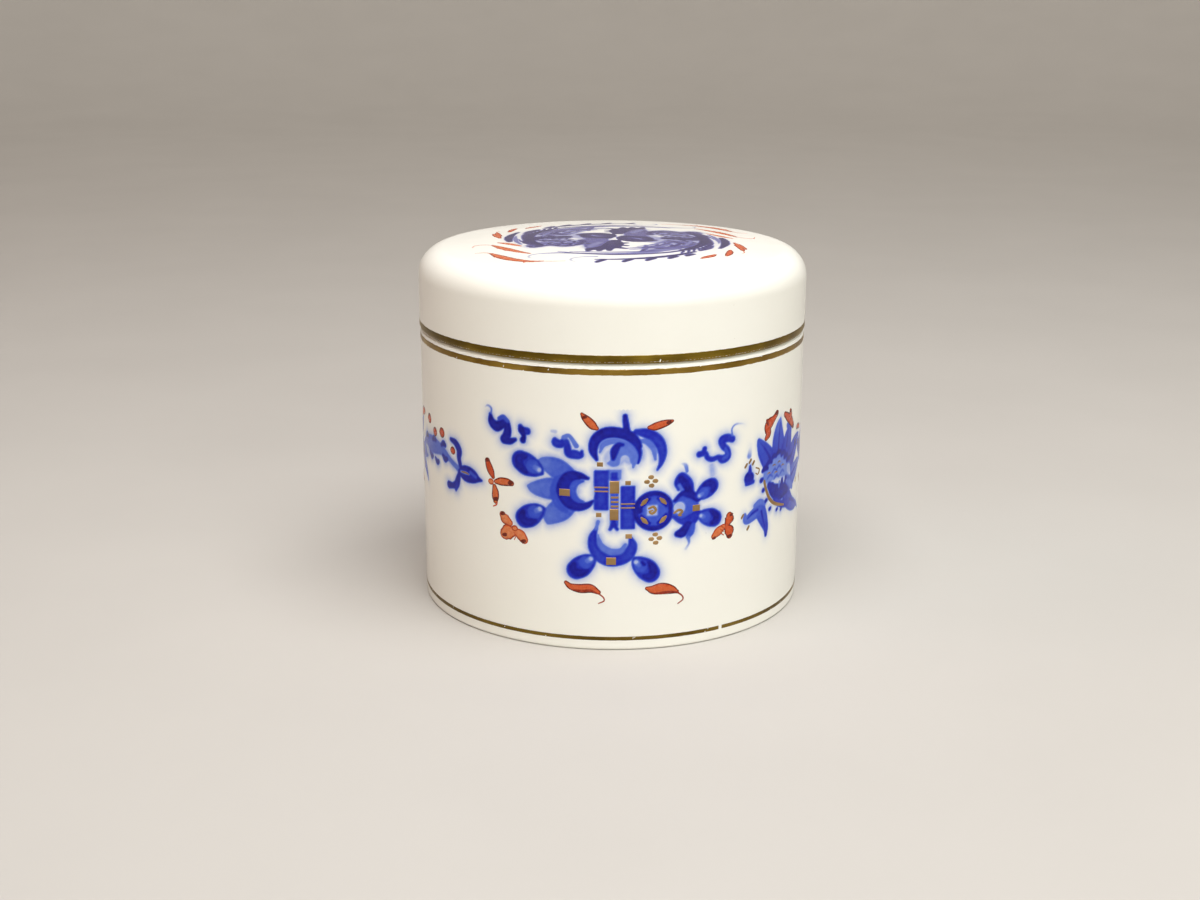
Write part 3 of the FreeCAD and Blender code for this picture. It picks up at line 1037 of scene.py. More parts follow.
def on_wall(tree, given, flat):
    """x goes round the wall from the front, y is height and z is how far it stands out."""
    reach = add(tree, MATH, [given["Radius"], flat[2]], operation="ADD")
    out = add(tree, MATH, [reach, -1.0], operation="MULTIPLY")
    start = add(tree, "ShaderNodeCombineXYZ", {"Y": out, "Z": flat[1]})
    turn = add(tree, MATH, [flat[0], given["Radius"]], operation="DIVIDE")
    return add(tree, "ShaderNodeVectorRotate", {0: start, "Angle": turn}, rotation_type="Z_AXIS")


def on_dome(tree, given, flat):
    """x and y stay as in a plan of the lid, and z stands on the dome."""
    centre = add(tree, MATH, [given["Crown"], given["Radius"]], operation="SUBTRACT")
    radius_squared = add(tree, MATH, [given["Radius"], 2.0], operation="POWER")
    x_squared = add(tree, MATH, [flat[0], 2.0], operation="POWER")
    y_squared = add(tree, MATH, [flat[1], 2.0], operation="POWER")
    reach = add(tree, MATH, [x_squared, y_squared], operation="ADD")
    rest = add(tree, MATH, [radius_squared, reach], operation="SUBTRACT")
    rise = add(tree, MATH, [rest], operation="SQRT")
    surface = add(tree, MATH, [centre, rise], operation="ADD")
    level = add(tree, MATH, [surface, flat[2]], operation="ADD")
    return add(tree, "ShaderNodeCombineXYZ", [flat[0], flat[1], level])


ON_WALL = make_bending_recipe("bent on the wall", on_wall, Radius=WALL_RADIUS * MM)
ON_DOME = make_bending_recipe(
    "settled on the lid", on_dome, Radius=DOME_RADIUS * MM, Crown=CROWN * MM,
)

# %% [markdown]
# ### Sets of enamel strokes
# Red and gold strokes are gathered in a set while they are drawn, and swept together at the end:
# one mesh and one finish for each colour. A mesh for each stroke would be a hundred objects.

# %% Round ends
def round_ends(line):
    """Adds three narrowing points at each end, so that a stroke ends in a half circle."""
    caps = []
    for tip, back in ((line[0], line[1]), (line[-1], line[-2])):
        on = (tip - back)[:2] / max(1e-6, np.hypot(*(tip - back)[:2]))
        caps.append([
            (*(tip[:2] + on * tip[2] * t), tip[2] * math.sqrt(1 - t * t))
            for t in (0.5, 0.87, 0.985)
        ])
    return np.vstack((caps[0][::-1], line, caps[1]))


sample = round_ends(smooth_line([(0, 0, 0.5), (2, 0, 0.5)]))
print(f"a stroke 2 mm long and 1 mm wide ends {sample[-1][0] - 2:.2f} mm further on")

# %% A set of enamel strokes
class Enamel:
    """Strokes of red or gold on a flat sheet, kept as smooth chains until they are swept."""

    def __init__(self):
        self.lines = []

    def pull(self, tone, *points, level=1, blunt=False):
        """One stroke through (x, y, half width) points; level 2 lies on level 1."""
        line = smooth_line(points, step=0.17)
        self.lines.append((line if blunt else round_ends(line), tone, level))

    def spot(self, tone, x, y, radius, level=1):
        """A round spot: a very short stroke."""
        self.pull(tone, (x - 0.05, y, radius), (x + 0.05, y, radius), level=level)


red, gold = Enamel(), Enamel()
print(f"{len(red.lines)} red and {len(gold.lines)} gold strokes so far")

# %% The strokes as one mesh
def enamel_mesh(name, enamel, layer):
    """All strokes as one mesh of chains, each layer so many mm above the one before."""
    points, edges, values = [], [], {"half_width": [], "tone": [], "lift": []}
    for line, tone, level in enamel.lines:
        edges += [(len(points) + i, len(points) + i + 1) for i in range(len(line) - 1)]
        points += [(x * MM, y * MM, 0.0) for x, y, _ in line]
        values["half_width"] += [width * MM for width in line[:, 2]]
        values["tone"] += [tone] * len(line)
        values["lift"] += [(level - 1) * layer * MM] * len(line)
    mesh = bpy.data.meshes.new(name)
    mesh.from_pydata(points, edges, [])
    for label, numbers in values.items():
        mesh.attributes.new(label, "FLOAT", "POINT").data.foreach_set("value", numbers)
    print(f"{name}: {len(enamel.lines)} strokes")
    return mesh


# %% [markdown]
# ### The wall as a flat sheet
# Once round the wall is 238.8 mm, and the painting repeats after half of that. So half of it is
# painted, on a sheet 119.4 mm wide that closes on itself: what runs off one side comes in at the
# other. The middle of the sheet is the front of the box. Heights are from the table.

# %% The wall's sheet
GRAIN = 0.16  # mm between points, about half the width of a soft brush edge
HALF_ROUND = math.pi * WALL_RADIUS
PANELS = 4
PAINT_LOW, PAINT_HIGH = 7.5, 46.9

across_panel = round(HALF_ROUND / PANELS / GRAIN)
up_panel = round((PAINT_HIGH - PAINT_LOW) / GRAIN)
start = -HALF_ROUND / PANELS / 2
wall_x = start + np.arange(PANELS * across_panel + 1) * HALF_ROUND / (PANELS * across_panel)
wall_y = np.linspace(PAINT_LOW, PAINT_HIGH, up_panel + 1)
wall = Sheet(*np.meshgrid(wall_x, wall_y), [(1, -HALF_ROUND), (1, 0.0), (1, HALF_ROUND)])
print(f"wall sheet: {wall.x.size} points, {PANELS} panels of {across_panel} by {up_panel}")

# %% [markdown]
# ### The emblem in front
# The emblem is built like a knot of ribbons and rods: an arch on top, a crescent on its right, two
# upright rods joined by gold ties, a fan on the left, a round token and a blossom on the right, a
# bowl-shaped crescent below, and drop-shaped pods at the corners. Wide dark strokes come first and
# paler ones go over them, as water lifts the pigment again. Such shapes follow no rule that a node
# tree could use, so each is a brush stroke given by a few points: across, up, and half its width.

# %% Tones of cobalt
DARK, DEEP, MID, SOFT, PALE, BARE_TONE = 0.97, 0.8, 0.6, 0.45, 0.3, 0.1
brush = wall.brush
print(f"six tones, from {DARK} to {BARE_TONE}")

# %% Arch and crescent

brush(SOFT, (0.2, 37.2, 1.6), (1.8, 38.6, 1.6), (3.4, 37.4, 1.2), soft=0.8)
brush(
    DEEP, (4.2, 42.2, 0.5), (6.4, 41.7, 0.95), (8.3, 40.3, 1.05), (9.1, 38.2, 0.85),
    (8.9, 36.3, 0.5), (8.2, 34.9, 0.2),
)
brush(SOFT, (4.8, 40.5, 0.3), (6.3, 40.2, 0.6), (7.4, 38.8, 0.55), (7.8, 36.9, 0.3))
brush(
    DARK, (-2.9, 37.0, 0.3), (-3.55, 38.8, 0.8), (-3.0, 40.8, 1.0), (-1.2, 42.0, 1.05),
    (1.2, 42.0, 1.0), (3.4, 41.1, 1.0), (4.6, 39.2, 0.8), (5.0, 37.6, 0.55), (4.6, 36.4, 0.25),
)
brush(DARK, (2.2, 45.1, 0.45), (2.3, 44.0, 0.55), (2.5, 42.6, 0.6))
brush(
    SOFT, (-2.3, 38.4, 0.25), (-1.6, 39.9, 0.6), (0.2, 40.5, 0.55), (1.8, 40.2, 0.5),
    (3.2, 39.2, 0.7), (4.1, 37.6, 0.6), (3.7, 35.6, 0.3),
)
brush(BARE_TONE, (-1.3, 37.4, 0.9), (-1.0, 38.8, 0.6), soft=0.7, haze=0)
brush(BARE_TONE, (2.3, 35.6, 1.0), (2.2, 37.0, 0.8), soft=0.7, haze=0)
brush(BARE_TONE, (5.9, 36.6, 0.9), (6.1, 38.2, 0.8), (5.6, 39.0, 0.4), soft=0.7, haze=0)
brush(DARK, (0.1, 37.2, 0.35), (0.3, 38.6, 0.7), (1.0, 39.7, 0.5), (1.8, 39.8, 0.25))
wall.tell("arch and crescent")

# %% Bowl below
brush(
    DEEP, (-2.9, 24.0, 0.25), (-3.6, 22.0, 0.8), (-3.2, 19.8, 1.05), (-1.6, 18.2, 1.2),
    (0.4, 17.8, 1.2), (2.6, 18.6, 1.2), (3.7, 20.4, 0.9), (3.4, 21.9, 0.4),
)
brush(
    SOFT, (-2.5, 22.6, 0.25), (-2.1, 20.7, 0.6), (-0.4, 19.5, 0.7), (1.5, 19.6, 0.6),
    (2.4, 20.8, 0.35),
)
brush(BARE_TONE, (-1.2, 22.6, 1.1), (0.2, 21.8, 1.3), (1.6, 22.4, 0.9), soft=0.8, haze=0)
brush(SOFT, (-3.0, 23.8, 0.3), (-2.6, 25.2, 0.4))
wall.tell("bowl")

# %% [markdown]
# The rods are small squared blocks, drawn with the side of a flat brush. A block is worked out from
# its half sizes instead of a line, because a stroke would round its corners too much.

# %% Rods
wall.block(SOFT, 0.35, 34.2, 1.3, 1.0, soft=0.8)
wall.block(DEEP, -2.05, 31.2, 1.35, 3.8)
wall.block(DEEP, 2.8, 27.9, 1.35, 4.15)
wall.block(MID, 0.35, 29.0, 0.8, 4.6, soft=0.6)
wall.block(DEEP, 0.3, 33.9, 0.6, 0.7)
brush(DEEP, (-0.4, 23.8, 0.3), (0.2, 24.6, 0.45), (0.9, 23.8, 0.3))
wall.block(DEEP, 0.25, 24.9, 0.4, 0.7)
wall.tell("rods")

# %% [markdown]
# The fan is three broad leaves with a hooked crescent over their roots. The token is a disc with a
# dark ring, a square hole in the middle and four short bars that lie across its spokes.

# %% Fan
for leaf in (
    ((-7.5, 33.2, 1.6), (-10.0, 34.8, 2.0), (-12.4, 35.7, 1.3), (-13.6, 35.6, 0.7)),
    ((-8.0, 31.0, 1.8), (-11.5, 31.0, 2.1), (-14.4, 30.8, 1.3), (-15.8, 31.0, 0.4)),
    ((-7.5, 29.0, 1.6), (-9.5, 27.2, 2.2), (-11.3, 25.8, 1.6), (-11.9, 24.6, 0.6)),
):
    brush((MID, SOFT), *leaf, soft=0.6)
brush(
    MID, (-8.4, 33.4, 0.5), (-9.7, 33.2, 0.5), (-10.6, 32.0, 0.6), (-10.9, 30.0, 0.6),
    (-10.0, 28.0, 0.6), (-8.6, 27.0, 0.4), soft=0.7,
)
brush(
    DARK, (-4.5, 33.4, 0.3), (-6.2, 33.8, 0.75), (-8.1, 33.2, 1.2), (-9.0, 31.0, 1.35),
    (-8.1, 28.9, 1.2), (-6.3, 28.0, 0.9), (-4.6, 28.3, 0.6), (-3.6, 29.1, 0.25),
)
brush(
    MID, (-5.4, 32.8, 0.3), (-6.8, 32.2, 0.7), (-7.2, 30.8, 0.75), (-6.7, 29.4, 0.55),
    (-5.4, 28.9, 0.3),
)
brush(0.12, (-4.9, 30.9, 1.7), haze=0)
wall.tell("fan")

# %% Token
TOKEN = (7.6, 27.1)
SPOKE_ANGLES = (0.8, 2.36, 3.94, 5.5)


def round_token(radius, angle):
    """The place at a radius in mm and an angle in radians from the token's middle."""
    return TOKEN[0] + radius * math.cos(angle), TOKEN[1] + radius * math.sin(angle)


brush(MID, (*TOKEN, 3.0))
brush(DARK, *[(*round_token(3.35, a), 0.5) for a in np.linspace(0, 2 * math.pi, 13)])
brush(DARK, (4.0, 27.7, 0.5), (4.9, 27.3, 0.6))
wall.block(0.2, 7.3, 27.2, 1.05, 1.05, haze=0)
for lean in SPOKE_ANGLES:
    x, y = round_token(2.2, lean)
    dx, dy = 1.1 * math.sin(lean), 1.1 * math.cos(lean)
    brush(DARK, (x - dx, y + dy, 0.22), (x + dx, y - dy, 0.22), haze=0)
wall.tell("token")

# %% [markdown]
# The blossom has five petals that curl round a pale heart. A petal is one or two pulls that start
# thin at the heart and swell outwards, and the faint ones above and below are nearly water.

# %% Blossom on the right
brush(MID, (13.8, 26.9, 2.7))
brush(
    DEEP, (12.3, 30.9, 0.35), (12.0, 32.2, 0.6), (12.9, 33.4, 0.65), (14.2, 31.9, 0.9),
    (14.6, 30.4, 0.8),
)
brush(DARK, (12.7, 32.9, 0.55), (13.5, 31.8, 0.85), (14.3, 30.4, 0.7))
brush(SOFT, (12.4, 31.6, 0.35), (13.0, 30.6, 0.4), haze=0)
brush(DARK, (11.5, 28.7, 0.3), (13.0, 29.9, 0.5), (14.8, 29.6, 0.75), (16.2, 28.6, 0.6))
brush(DEEP, (11.3, 25.7, 0.3), (12.8, 24.7, 0.5), (14.8, 24.7, 1.15), (16.2, 25.8, 0.7))
brush(DARK, (12.2, 22.3, 0.6), (13.2, 22.5, 0.95), (14.3, 23.7, 0.8))
brush(MID, (15.3, 23.6, 0.5), (14.9, 22.4, 0.7), (14.3, 21.6, 0.4))
brush(BARE_TONE, (12.5, 27.3, 1.15), haze=0)
brush((SOFT, 0.2), (13.9, 34.2, 0.35), (13.6, 35.3, 0.45), (12.8, 35.7, 0.2), soft=0.6, haze=0.1)
brush((SOFT, 0.2), (14.4, 21.3, 0.4), (14.5, 20.2, 0.3), (13.9, 19.2, 0.35), soft=0.6, haze=0.1)
brush(0.25, (19.0, 34.6, 0.3), (19.2, 32.9, 0.3), soft=0.6)
wall.tell("blossom")

# %% [markdown]
# All six pods are the same shape, so one function draws them at any place, lean and size.

# %% Pods
def pod(x, y, lean, size=1.0, speck=False):
    """A drop-shaped pod: a dark head at (x, y), a paler eye, and a tail that leans by an angle."""
    along, over = (math.cos(lean), math.sin(lean)), (-math.sin(lean), math.cos(lean))

    def spot(forth, up, half_width):
        forth, up = forth * size, up * size
        place = (x + forth * along[0] + up * over[0], y + forth * along[1] + up * over[1])
        return (*place, half_width * size)

    brush(
        DEEP, spot(-0.3, 0.0, 1.95), spot(0.8, 0.0, 2.15), spot(2.2, 0.1, 1.75),
        spot(3.4, 0.1, 1.0), spot(4.2, 0.0, 0.35),
    )
    brush(
        DARK, spot(1.4, -1.3, 0.4), spot(-0.2, -0.9, 0.8), spot(-0.8, 0.3, 0.8),
        spot(0.0, 1.2, 0.5), haze=0,
    )
    brush(MID, spot(2.1, 0.25, 1.3), spot(3.2, 0.2, 0.7), soft=0.5, haze=0)
    brush((SOFT, 0.2), spot(2.6, 0.3, 0.5), spot(3.4, 0.3, 0.5), soft=0.5, haze=0)
    if speck:
        brush(DARK, spot(1.9, -0.4, 0.35), spot(2.5, -0.5, 0.25), haze=0)


pod(-17.0, 35.5, -0.42, 1.02)
pod(-16.4, 24.9, 0.52)
pod(-6.4, 15.9, 0.62, 0.95)
pod(6.9, 15.3, 2.36, 0.95, speck=True)
pod(18.8, 30.6, 3.62, 0.8)
pod(19.6, 24.4, 2.75, 0.82)
wall.tell("pods")

# %% [markdown]
# Loose ribbons fly from the top of the emblem. Each is one long wavy pull, with a fold or a paler
# echo beside it, and some end in a thin curl where the brush runs dry.

# %% Ribbons on the left
brush(
    DARK, (-24.0, 43.5, 0.35), (-23.7, 42.2, 0.8), (-22.6, 41.5, 1.0), (-21.5, 42.0, 0.9),
    (-20.6, 42.4, 0.9), (-20.1, 41.2, 0.8), (-20.4, 39.8, 0.9), (-20.9, 39.2, 0.8),
    (-19.6, 39.1, 0.65), (-18.5, 39.5, 0.35),
)
brush(MID, (-22.0, 43.0, 0.4), (-21.0, 43.4, 0.5), (-20.1, 42.8, 0.4), haze=0)
brush(
    (SOFT, 0.2), (-23.8, 43.8, 0.25), (-23.8, 44.7, 0.3), (-24.6, 45.1, 0.3), (-25.3, 44.7, 0.15),
    soft=0.5, haze=0.1,
)
brush(DEEP, (-17.4, 42.1, 0.5), (-17.0, 41.5, 0.75), (-16.0, 41.4, 0.7))
brush(DARK, (-17.2, 41.5, 0.6), (-16.7, 40.4, 0.45), (-16.9, 39.6, 0.6))
brush(
    DEEP, (-10.6, 40.3, 0.5), (-10.4, 39.8, 0.8), (-9.5, 39.6, 0.75), (-8.7, 40.1, 0.7),
    (-8.3, 39.2, 0.7), (-8.0, 38.0, 0.8), (-6.8, 37.8, 0.85), (-5.8, 37.7, 0.55), (-5.6, 38.4, 0.3),
)
brush(SOFT, (-8.9, 40.9, 0.5), (-7.9, 41.2, 0.4), (-6.6, 39.4, 0.5), haze=0.1)
brush(0.22, (-10.5, 41.8, 0.5), (-11.2, 41.9, 0.4), soft=0.7, haze=0.1)
wall.tell("ribbons on the left")

# %% Ribbon on the right
brush(
    DEEP, (16.3, 37.1, 0.6), (17.5, 37.1, 0.55), (18.1, 36.2, 0.5), (19.1, 35.8, 0.5),
    (20.3, 36.0, 0.5), (21.4, 35.5, 0.8), (22.5, 35.9, 0.8), (22.4, 37.1, 0.65), (21.5, 38.0, 0.7),
    (21.2, 39.1, 0.85), (22.4, 39.4, 0.8), (23.6, 39.0, 0.65),
)
brush(MID, (21.6, 35.6, 0.35), (22.6, 36.2, 0.35), (22.0, 37.4, 0.3), haze=0)
brush(DEEP, (17.4, 38.0, 0.5), (17.2, 37.4, 0.4))
brush(
    (SOFT, 0.15), (23.5, 39.8, 0.25), (23.4, 41.0, 0.25), (24.3, 41.7, 0.25), (25.8, 41.6, 0.2),
    (26.6, 41.3, 0.15), soft=0.5, haze=0.1,
)
wall.tell("ribbon on the right")


# %% [markdown]
# ### Red leaves and gold ties
# Every red leaf is two pulls: a dark one a little wider, and a watery one over it that leaves the
# dark showing as an outline. A dark dab marks its tip. The gold on the rods and rings is matt and
# brownish, because it lies on the rough edge of the cobalt.

# %% A leaf in iron red
OUTLINE = 0.2  # mm of dark line that shows round a watery leaf


def leaf(enamel, *points, wash=0.42, line=0.86, tip=None):
    """A red leaf with a dark outline, and a dab at tip (x, y, radius)."""
    enamel.pull(line, *[(x, y, width + OUTLINE) for x, y, width in points])
    enamel.pull(wash - 0.05, *points, level=2)
    if tip:
        x, y, size = tip
        enamel.pull(0.95, (x - 0.15, y, size * 0.9), (x + 0.2, y + 0.1, size), level=3)


print(f"a leaf's outline is {OUTLINE} mm wide")

# %% Leaves over the arch
leaf(
    red, (-2.95, 42.85, 0.25), (-3.6, 43.3, 0.6), (-4.4, 44.1, 0.62), (-5.2, 44.9, 0.4),
    (-5.6, 45.4, 0.12), wash=0.46, tip=(-5.15, 44.8, 0.36),
)
leaf(
    red, (6.6, 42.9, 0.2), (7.6, 43.0, 0.55), (9.0, 43.4, 0.55), (10.2, 43.7, 0.35),
    (10.9, 43.9, 0.1), wash=0.52, tip=(10.2, 43.65, 0.36),
)
print(f"{len(red.lines)} red strokes so far")

# %% [markdown]
# On the left a star of three leaves sits on a ring, with a thin stalk, and below it three plump
# leaves meet in a bud. Each bud is a spot with a paler spot on it.

# %% Star and bud on the left
leaf(
    red, (-24.9, 34.5, 0.42), (-24.5, 33.4, 0.62), (-24.0, 32.4, 0.58), (-23.6, 31.6, 0.25),
    wash=0.6, tip=(-24.95, 34.6, 0.42),
)
leaf(
    red, (-22.9, 30.8, 0.3), (-21.8, 31.0, 0.6), (-20.4, 31.1, 0.58), (-19.4, 31.0, 0.35),
    wash=0.44, tip=(-19.7, 31.05, 0.45),
)
leaf(
    red, (-23.3, 29.8, 0.3), (-23.1, 28.8, 0.6), (-23.1, 27.7, 0.62), (-23.1, 27.0, 0.35),
    wash=0.44, tip=(-23.1, 27.35, 0.48),
)
red.pull(0.55, (-22.7, 26.9, 0.16), (-22.9, 26.3, 0.16), (-23.6, 25.9, 0.12))
red.spot(0.62, -24.1, 30.6, 0.62)
red.spot(0.22, -24.1, 30.6, 0.42, level=2)

leaf(
    red, (-19.9, 23.3, 0.5), (-20.9, 23.9, 0.85), (-21.5, 24.6, 0.5), wash=0.3, line=0.6,
    tip=(-21.5, 24.8, 0.42),
)
leaf(
    red, (-19.2, 21.7, 0.8), (-20.3, 21.4, 1.35), (-20.8, 21.1, 1.1), wash=0.3, line=0.6,
    tip=(-21.1, 20.75, 0.42),
)
leaf(
    red, (-18.6, 21.9, 0.5), (-17.6, 21.3, 0.85), (-16.9, 20.5, 0.7), wash=0.3, line=0.6,
    tip=(-17.0, 20.15, 0.42),
)
red.spot(0.66, -18.8, 22.4, 0.62, level=3)
red.spot(0.26, -18.8, 22.4, 0.38, level=4)
red.pull(0.5, (-19.0, 21.6, 0.09), (-18.6, 20.9, 0.09), (-18.9, 20.2, 0.09), level=4)
print(f"{len(red.lines)} red strokes so far")

# %% [markdown]
# Below the emblem two long leaves turn down into a thin hooked tail, and three more meet on its
# right, with fine veins over them.

# %% Leaves below and on the right
leaf(
    red, (-8.6, 13.1, 0.2), (-7.7, 12.4, 0.45), (-5.9, 12.1, 0.7), (-4.0, 12.2, 0.68),
    (-2.5, 11.5, 0.25), wash=0.52,
)
red.pull(
    0.78, (-7.0, 11.75, 0.16), (-5.6, 11.65, 0.28), (-4.0, 11.8, 0.26), (-2.6, 11.2, 0.14), level=3,
)
red.pull(0.72, (-2.6, 11.3, 0.15), (-1.6, 10.5, 0.14), (-1.5, 9.8, 0.13), (-2.5, 9.3, 0.1))
leaf(
    red, (6.5, 12.1, 0.2), (7.7, 11.8, 0.72), (9.4, 11.9, 0.95), (11.2, 11.5, 0.68),
    (12.3, 11.0, 0.2), wash=0.5,
)
red.pull(
    0.8, (8.0, 10.95, 0.14), (9.6, 11.05, 0.3), (11.2, 11.1, 0.24), (12.4, 10.9, 0.14), level=3,
)
red.pull(0.72, (12.3, 10.9, 0.17), (13.3, 10.1, 0.15), (13.5, 9.3, 0.14), (12.5, 8.6, 0.1))

leaf(
    red, (22.9, 22.9, 0.55), (23.3, 23.7, 0.95), (23.3, 24.2, 0.6), wash=0.56,
    tip=(23.7, 24.3, 0.3),
)
leaf(
    red, (22.7, 22.1, 0.5), (23.3, 21.3, 0.98), (23.4, 20.5, 0.6), wash=0.56,
    tip=(23.3, 20.2, 0.36),
)
leaf(
    red, (21.9, 22.3, 0.4), (20.8, 21.6, 0.7), (19.8, 20.8, 0.4), wash=0.36, line=0.62,
    tip=(19.8, 20.4, 0.3),
)
for height in (21.2, 21.9, 22.6):
    red.pull(0.6, (21.3, height, 0.1), (22.0, height - 0.5, 0.1), level=3)

print(f"{len(red.lines)} red strokes so far")

# %% Gold ties
def tie(x, y, half_x, half_y, tone=0.5):
    """A squared dab of gold, pulled sideways."""
    gold.pull(tone, (x - half_x, y, half_y), (x + half_x, y, half_y), blunt=True)


tie(0.35, 31.8, 0.85, 1.2)
tie(0.3, 26.6, 0.8, 1.1)
tie(-2.3, 36.1, 0.55, 0.42)
tie(-2.5, 26.5, 0.5, 0.42)
tie(2.8, 32.6, 0.5, 0.4)
tie(3.0, 22.4, 0.6, 0.45)
tie(-0.2, 17.6, 0.9, 0.72)
tie(-8.8, 30.5, 1.0, 0.66)
tie(15.9, 26.9, 0.75, 0.6)
print(f"{len(gold.lines)} gold strokes so far")

# %% Gold bars, curls and dots
for height in (28.15, 29.0, 29.85):
    tie(0.4, height, 0.7, 0.2)
for height in (31.75, 31.0):
    tie(-2.05, height, 1.3, 0.13)
for height in (28.6, 27.85):
    tie(2.8, height, 1.3, 0.13)
for lean in SPOKE_ANGLES:
    x, y = round_token(2.5, lean)
    dx, dy = -0.75 * math.sin(lean), 0.75 * math.cos(lean)
    gold.pull(0.5, (x - dx, y - dy, 0.2), (x, y, 0.42), (x + dx, y + dy, 0.2))
gold.pull(
    0.5, (6.7, 27.6, 0.2), (7.5, 27.9, 0.25), (8.0, 27.2, 0.25), (7.3, 26.6, 0.25),
    (6.8, 27.0, 0.2), (7.4, 27.2, 0.15),
)
gold.pull(
    0.5, (11.5, 26.4, 0.2), (12.4, 26.9, 0.25), (13.1, 26.5, 0.25), (12.4, 25.9, 0.25),
    (12.9, 25.8, 0.15),
)
for x, y in ((7.0, 32.7), (7.9, 21.7)):
    for dx, dy in ((0.0, 0.85), (-0.75, 0.0), (0.8, 0.1), (0.1, -0.75)):
        gold.pull(0.35, (x + dx - 0.15, y + dy, 0.36), (x + dx + 0.15, y + dy, 0.42))
print(f"{len(gold.lines)} gold strokes so far")


# %% [markdown]
# ### The spray at the side
# Between the two emblems runs a spray of leaves with a large blossom at its head. It is as dense
# as the emblem is open: pale pointed leaves behind, a dark scalloped heart in front, grey-violet
# washes between them, and a trail of small leaves and berries that thins out to a point.

# %% Pointed leaves of the blossom
def pointed(tone, *points, soft=0.5, haze=0.17):
    """A pointed leaf of the spray: a wide pull that narrows to its last point."""
    brush(tone, *points, soft=soft, haze=haze)


pointed((DEEP, MID), (35.0, 32.0, 2.4), (32.6, 34.6, 1.9), (31.2, 36.4, 1.1), (30.6, 37.4, 0.5))
pointed((DEEP, SOFT), (38.0, 33.0, 3.0), (37.4, 36.2, 2.2), (37.5, 38.6, 1.3), (38.0, 40.2, 0.35))
pointed((DEEP, MID), (41.0, 33.0, 2.6), (41.8, 35.4, 1.9), (42.4, 37.0, 1.1), (41.4, 38.2, 0.5))
pointed((DEEP, MID), (43.0, 30.5, 2.6), (45.6, 32.6, 2.1), (47.8, 33.8, 1.3), (49.8, 34.4, 0.4))
pointed((MID, SOFT), (44.0, 27.0, 2.4), (46.8, 27.8, 1.8), (49.0, 28.6, 1.2), (51.0, 28.8, 0.4))
pointed(
    (DEEP, MID), (42.0, 23.6, 2.0), (44.6, 21.6, 1.5), (47.2, 20.6, 1.1), (49.6, 20.0, 0.5),
    (51.4, 18.8, 0.2),
)
pointed((MID, DEEP), (31.4, 24.0, 1.7), (32.6, 21.8, 1.4), (33.6, 19.6, 0.8), (33.7, 18.1, 0.4))
pointed((MID, SOFT), (31.6, 24.0, 1.3), (29.4, 23.0, 1.2), (27.6, 22.4, 0.8), (27.2, 23.6, 0.4))
brush(SOFT, (30.0, 24.8, 0.5), (31.4, 25.2, 0.6), (33.0, 24.6, 0.5), soft=0.5)
wall.tell("pointed leaves")

# %% [markdown]
# Each leaf gets a fine dark vein from its root to its tip, bent a little upwards in the middle. The
# veins are given as pairs of ends, since the rest of each is the same.

# %% Veins
for a, b in (
    ((34.6, 33.0), (31.2, 36.8)), ((37.4, 34.0), (37.9, 39.4)), ((41.2, 34.0), (41.9, 37.4)),
    ((43.8, 31.4), (48.6, 34.0)), ((44.6, 27.4), (49.6, 28.6)), ((43.2, 22.8), (48.6, 20.4)),
    ((32.0, 23.2), (33.5, 18.9)), ((30.8, 23.8), (28.0, 22.7)),
):
    halfway = ((a[0] + b[0]) / 2, (a[1] + b[1]) / 2 + 0.2)
    brush((DARK, DEEP), (*a, 0.22), (*halfway, 0.2), (*b, 0.1), haze=0)
wall.tell("veins")

# %% Washes and scallops over the leaves' roots
brush(0.36, (34.0, 30.0, 1.8), (37.0, 31.0, 2.4), (40.0, 30.0, 1.8), (42.4, 29.0, 1.2), soft=0.9)
brush(0.2, (42.6, 29.4, 0.9), (43.4, 28.0, 0.5), soft=0.7, haze=0)
for x, y, reach in (
    (32.8, 31.4, 0.8), (34.2, 32.4, 0.7), (35.8, 33.2, 0.75), (37.6, 33.6, 0.75), (39.6, 33.0, 0.7),
    (41.0, 32.2, 0.7), (42.4, 31.2, 0.6),
):
    brush(DARK, (x - 0.7, y - 0.2, 0.4), (x, y + 0.15, reach * 0.7), (x + 0.8, y, 0.4), haze=0)
for x, y in ((34.6, 29.6), (36.2, 30.4), (38.0, 30.6), (39.4, 29.4), (37.0, 29.0)):
    brush(
        0.55, (x - 0.9, y - 0.3, 0.16), (x, y + 0.25, 0.24), (x + 0.9, y - 0.2, 0.16), soft=0.4,
        haze=0,
    )
wall.tell("washes and scallops")

# %% [markdown]
# The heart of the blossom is one heavy dark pull with short teeth on it. Small round buds stand
# round the blossom, and a faint wisp rises from the one on its left.

# %% Dark heart
brush(
    DARK, (34.4, 27.8, 0.7), (36.4, 26.2, 1.4), (38.6, 25.4, 1.6), (40.8, 25.4, 1.2),
    (42.2, 24.8, 0.5),
)
for x, y in ((35.4, 27.4), (37.2, 26.6), (39.4, 27.4), (41.2, 27.4)):
    brush(DARK, (x, y - 0.9, 0.8), (x + 0.1, y + 0.2, 0.55), haze=0)
brush(0.4, (38.3, 27.6, 0.35), (38.2, 26.7, 0.3), haze=0)
brush(DEEP, (36.6, 24.4, 0.6), (38.6, 23.2, 0.7), (40.6, 22.6, 0.8), (43.0, 22.4, 0.8))
brush(SOFT, (41.8, 26.8, 0.5), (43.6, 26.0, 0.7), (45.2, 24.8, 0.6), haze=0)
wall.tell("heart")

